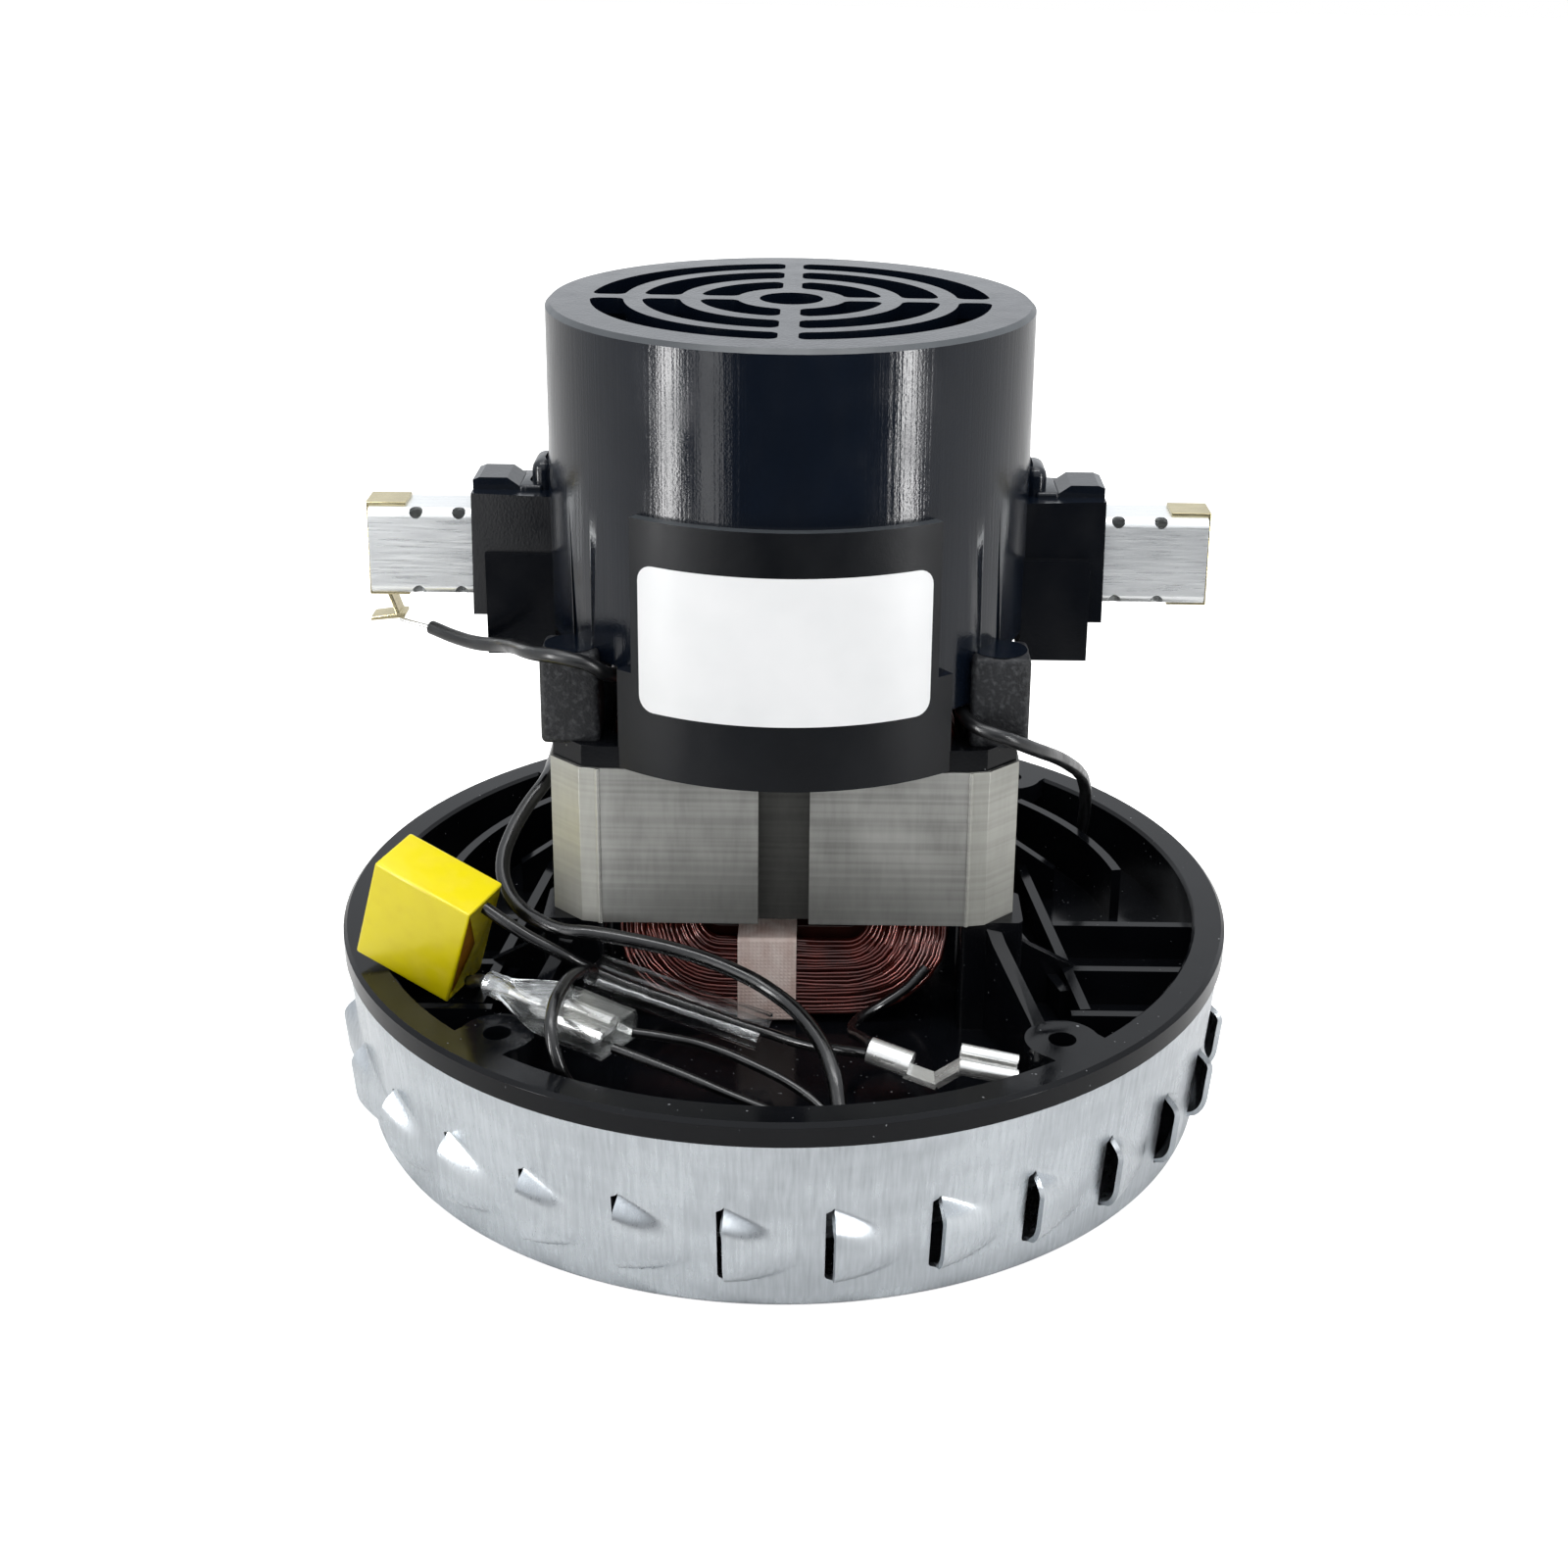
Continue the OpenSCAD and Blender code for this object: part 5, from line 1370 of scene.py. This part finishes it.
@dataclass
class PressedShell:
    """Drawn shell: one sheet from the inlet lip over the floor and up the wall, with pressed louvres.

    The sheet is made as one sector from louvre mouth to louvre mouth. Its first column stands out as the
    hood's lip and its last lies on the wall, so that neighbouring sectors join everywhere but at the mouth.
    """

    louvres: int = 29
    first: float = 6.6
    low_r: float = 68.9
    top_r: float = 71.5
    mean_r: float = 70.0
    height: float = 28.2
    bend: float = 1.6
    sheet: float = 0.8
    inlet_r: float = 19.0
    lip: float = 3.0
    hood_len: float = 10.2
    hood_out: float = 2.6
    mouth_low: float = 4.9
    mouth_high: float = 17.3
    top_drop: float = 4.6
    low_rise: float = 2.4
    fade: float = 0.85
    facet: float = 2.1
    widening: float = 1.1
    under_edge: float = 4.0
    slit: float = 1.15
    slit_from: float = 0.8
    slit_inset: float = 0.1
    slit_taper: float = 0.4
    columns: int = 24
    crowding: float = 0.38

    def wall_r(self, z: float) -> float:
        """Outer radius of the plain wall at a height."""
        return self.low_r + (self.top_r - self.low_r) * z / self.height

    def rows(self) -> list[tuple[float, float]]:
        """Radius and height of each row, from the lip of the inlet to the top edge."""
        r = self.inlet_r
        path = [(r, self.lip), (r, 1.2), (r + 0.2, 0.35), (r + 0.9, 0.0), (30, 0), (40, 0), (47.6, 0)]
        path += [(48.4, 0.2), (49.2, 0.7), (50, 0.8), (54, 0.8), (54.8, 0.7), (55.6, 0.2), (56.4, 0), (62, 0)]
        centre = self.low_r - self.bend
        for step in range(7):
            a = math.radians(-90 + 15 * step)
            path.append((centre + self.bend * math.cos(a), self.bend + self.bend * math.sin(a)))
        mouth = [self.mouth_low + 0.42 * i for i in range(31)]
        levels = [2.6, 3.4, 4.0, 4.5, *mouth, 18.6, 20.6, 23.5, 26.6, 27.7, 28.2]
        path += [(self.wall_r(z), z) for z in levels]
        return path

    def hood(self, along: float, z: float) -> float:
        """How far the hood stands out at a distance from its mouth and at a height, in millimetres."""
        u = along / self.hood_len
        if u >= 1 or z <= self.mouth_low or z >= self.mouth_high:
            return 0.0
        fall = (1 - u) ** self.fade
        top = self.mouth_high - self.top_drop * u
        low = self.mouth_low + self.low_rise * u * u + 0.5 * u
        over = rounded_step((top - z) / (self.facet * (1 + self.widening * u)), 0.6)
        under = math.sqrt(1 - (1 - max(0.0, min(1.0, (z - low) / self.under_edge))) ** 2)
        return self.hood_out * fall * over * under

    def gap(self, share: float, z: float) -> float:
        """How far the sheet is cut back before the next mouth, which leaves its black slit open."""
        inside = min(z - self.mouth_low, self.mouth_high - z) - self.slit_inset
        tall = max(0.0, min(1.0, inside / self.slit_taper))
        return self.slit * tall * max(0.0, (share - self.slit_from) / (1 - self.slit_from))

    def sector(self) -> Obj:
        """Makes one sector of the sheet from a flat grid.

        Returns:
            The sector, from its own louvre mouth to the next one.
        """
        path = self.rows()
        pitch = 2 * math.pi / self.louvres
        arc = pitch * self.mean_r
        deselect_all()
        bpy.ops.mesh.primitive_grid_add(x_subdivisions=self.columns, y_subdivisions=len(path) - 1, size=2.0)
        sector = bpy.context.object
        for vertex in sector.data.vertices:
            column = round((vertex.co.x + 1) / 2 * self.columns)
            row = round((vertex.co.y + 1) / 2 * (len(path) - 1))
            r, z = path[row]
            share = column / self.columns
            along = arc * (share * (1 - self.crowding + self.crowding * share))
            r += self.hood(along, z) if column < self.columns else 0.0
            along -= self.gap(share, z)
            a = math.radians(self.first) + along / arc * pitch
            vertex.co = Vector((r * math.sin(a), -r * math.cos(a), z)) * MM
        return sector

    def build(self) -> None:
        """Joins the sectors to the whole shell and gives the sheet its thickness."""
        parts = [self.sector()]
        for k in range(1, self.louvres):
            copy = add_object("shell_sector", parts[0].data.copy())
            copy.data.transform(Matrix.Rotation(2 * math.pi * k / self.louvres, 4, "Z"))
            parts.append(copy)
        deselect_all()
        for part in parts:
            part.select_set(True)
        bpy.context.view_layer.objects.active = parts[0]
        bpy.ops.object.join()
        shell = bpy.context.object
        shell.name = "pressed_shell"
        with editing(shell):
            bpy.ops.mesh.remove_doubles(threshold=0.02 * MM)
            bpy.ops.mesh.normals_make_consistent(inside=False)
        top = max(shell.data.polygons, key=lambda face: face.center.z)
        if top.normal.dot(Vector((top.center.x, top.center.y, 0))) < 0:
            shell.data.flip_normals()
        thicken(shell, self.sheet, -1.0)
        bpy.ops.object.shade_smooth_by_angle(angle=math.radians(38))
        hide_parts("fan_shell")
        put(shell, Body.FRAME, SHELL_SHEET)


@dataclass
class FanUnit:
    """Louvred shell, motor bracket and impeller."""

    def build(self) -> None:
        """Makes the shell and finishes the bracket and what turns in the shell."""
        PressedShell().build()
        refined("motor_bracket", Body.FRAME, BRACKET_BLACK, 0.35)
        refined("impeller", Body.ROTOR, IMPELLER_SHEET, 0.15)
        refined("impeller_spacer", Body.ROTOR, STEEL, 0.2)
        refined("impeller_washer", Body.ROTOR, STEEL, 0.2)
        refined("impeller_nut", Body.ROTOR, STEEL, 0.3)


@dataclass
class EndTurns:
    """End turns of the armature: bundles of strands that leave a slot, cross beside the shaft and go back."""

    slots: int = 12
    span: float = 150.0
    strands: int = 6
    strand: float = 0.5
    fan_out: float = 2.3
    core_low: float = 41.0
    core_top: float = 65.2

    def path(self, start: float, shape: tuple[tuple[float, float], ...], base: float) -> list[Point]:
        """Bends one strand over the head of the winding.

        Args:
            start: Angle of its slot in degrees.
            shape: Radius and rise at each step from the slot to the middle of the strand.
            base: Height of the core's face.

        Returns:
            The strand's points.
        """
        steps = list(shape) + list(shape[-2::-1])
        turns = (0.0, 0.015, 0.06, 0.17, 0.33, 0.5, 0.67, 0.83, 0.94, 0.985, 1.0)
        points = []
        for (r, rise), t in zip(steps, turns):
            a = math.radians(start + self.span * t)
            points.append((r * math.cos(a), r * math.sin(a), base + rise))
        return points

    def build(self) -> None:
        """Lays the strands over both heads."""
        top = ((14.3, -0.4), (15.1, 1.4), (15.9, 3.4), (14.9, 6.3), (12.2, 7.75), (10.4, 8.35))
        low = ((14.3, 0.4), (15.1, -1.4), (15.9, -3.3), (14.9, -6.0), (12.0, -7.5), (8.8, -7.2))
        for name, shape, base in (("top", top, self.core_top), ("low", low, self.core_low)):
            routes = [
                self.path(360 / self.slots * k + self.fan_out * (j - (self.strands - 1) / 2), shape, base)
                for k in range(self.slots)
                for j in range(self.strands)
            ]
            put(wires(f"armature_end_turns_{name}", routes, self.strand), Body.ROTOR, WIRE)


@dataclass
class Rotor:
    """Armature, commutator, shaft, cooling fan and bearings."""

    def build(self) -> None:
        """Finishes the turning parts and the bearings."""
        EndTurns().build()
        refined("rotor_shaft", Body.ROTOR, STEEL, 0.0)
        refined("rotor_core", Body.ROTOR, ARMATURE_STACK, 0.1)
        refined("rotor_windings", Body.ROTOR, WIRE_BED, 0.0)
        refined("commutator_hub", Body.ROTOR, FAN_BLACK, 0.2)
        refined("commutator_bars", Body.ROTOR, COPPER, 0.06)
        refined("cooling_fan", Body.ROTOR, FAN_BLACK, 0.2)
        for end, balls in (("lower", Body.LOWER_BALLS), ("upper", Body.UPPER_BALLS)):
            refined(f"{end}_bearing_outer", Body.FRAME, STEEL, 0.2)
            refined(f"{end}_bearing_inner", Body.ROTOR, STEEL, 0.2)
            refined(f"{end}_bearing_balls", balls, STEEL, 0.0)


def write_sizes() -> None:
    """Brings the placements of all objects up to date."""
    bpy.context.view_layer.update()


def main() -> None:
    """Builds the studio and every sub-assembly."""
    logging.basicConfig(level=logging.INFO, format="%(message)s")
    noise.seed_set(NOISE_SEED)
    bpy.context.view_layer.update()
    Studio().build()
    Wiring().build()
    Capacitor().build()
    FanUnit().build()
    Stator().build()
    Housing().build()
    BrushGear().build()
    Rotor().build()
    deselect_all()
    write_sizes()


if __name__ == "__main__":
    main()
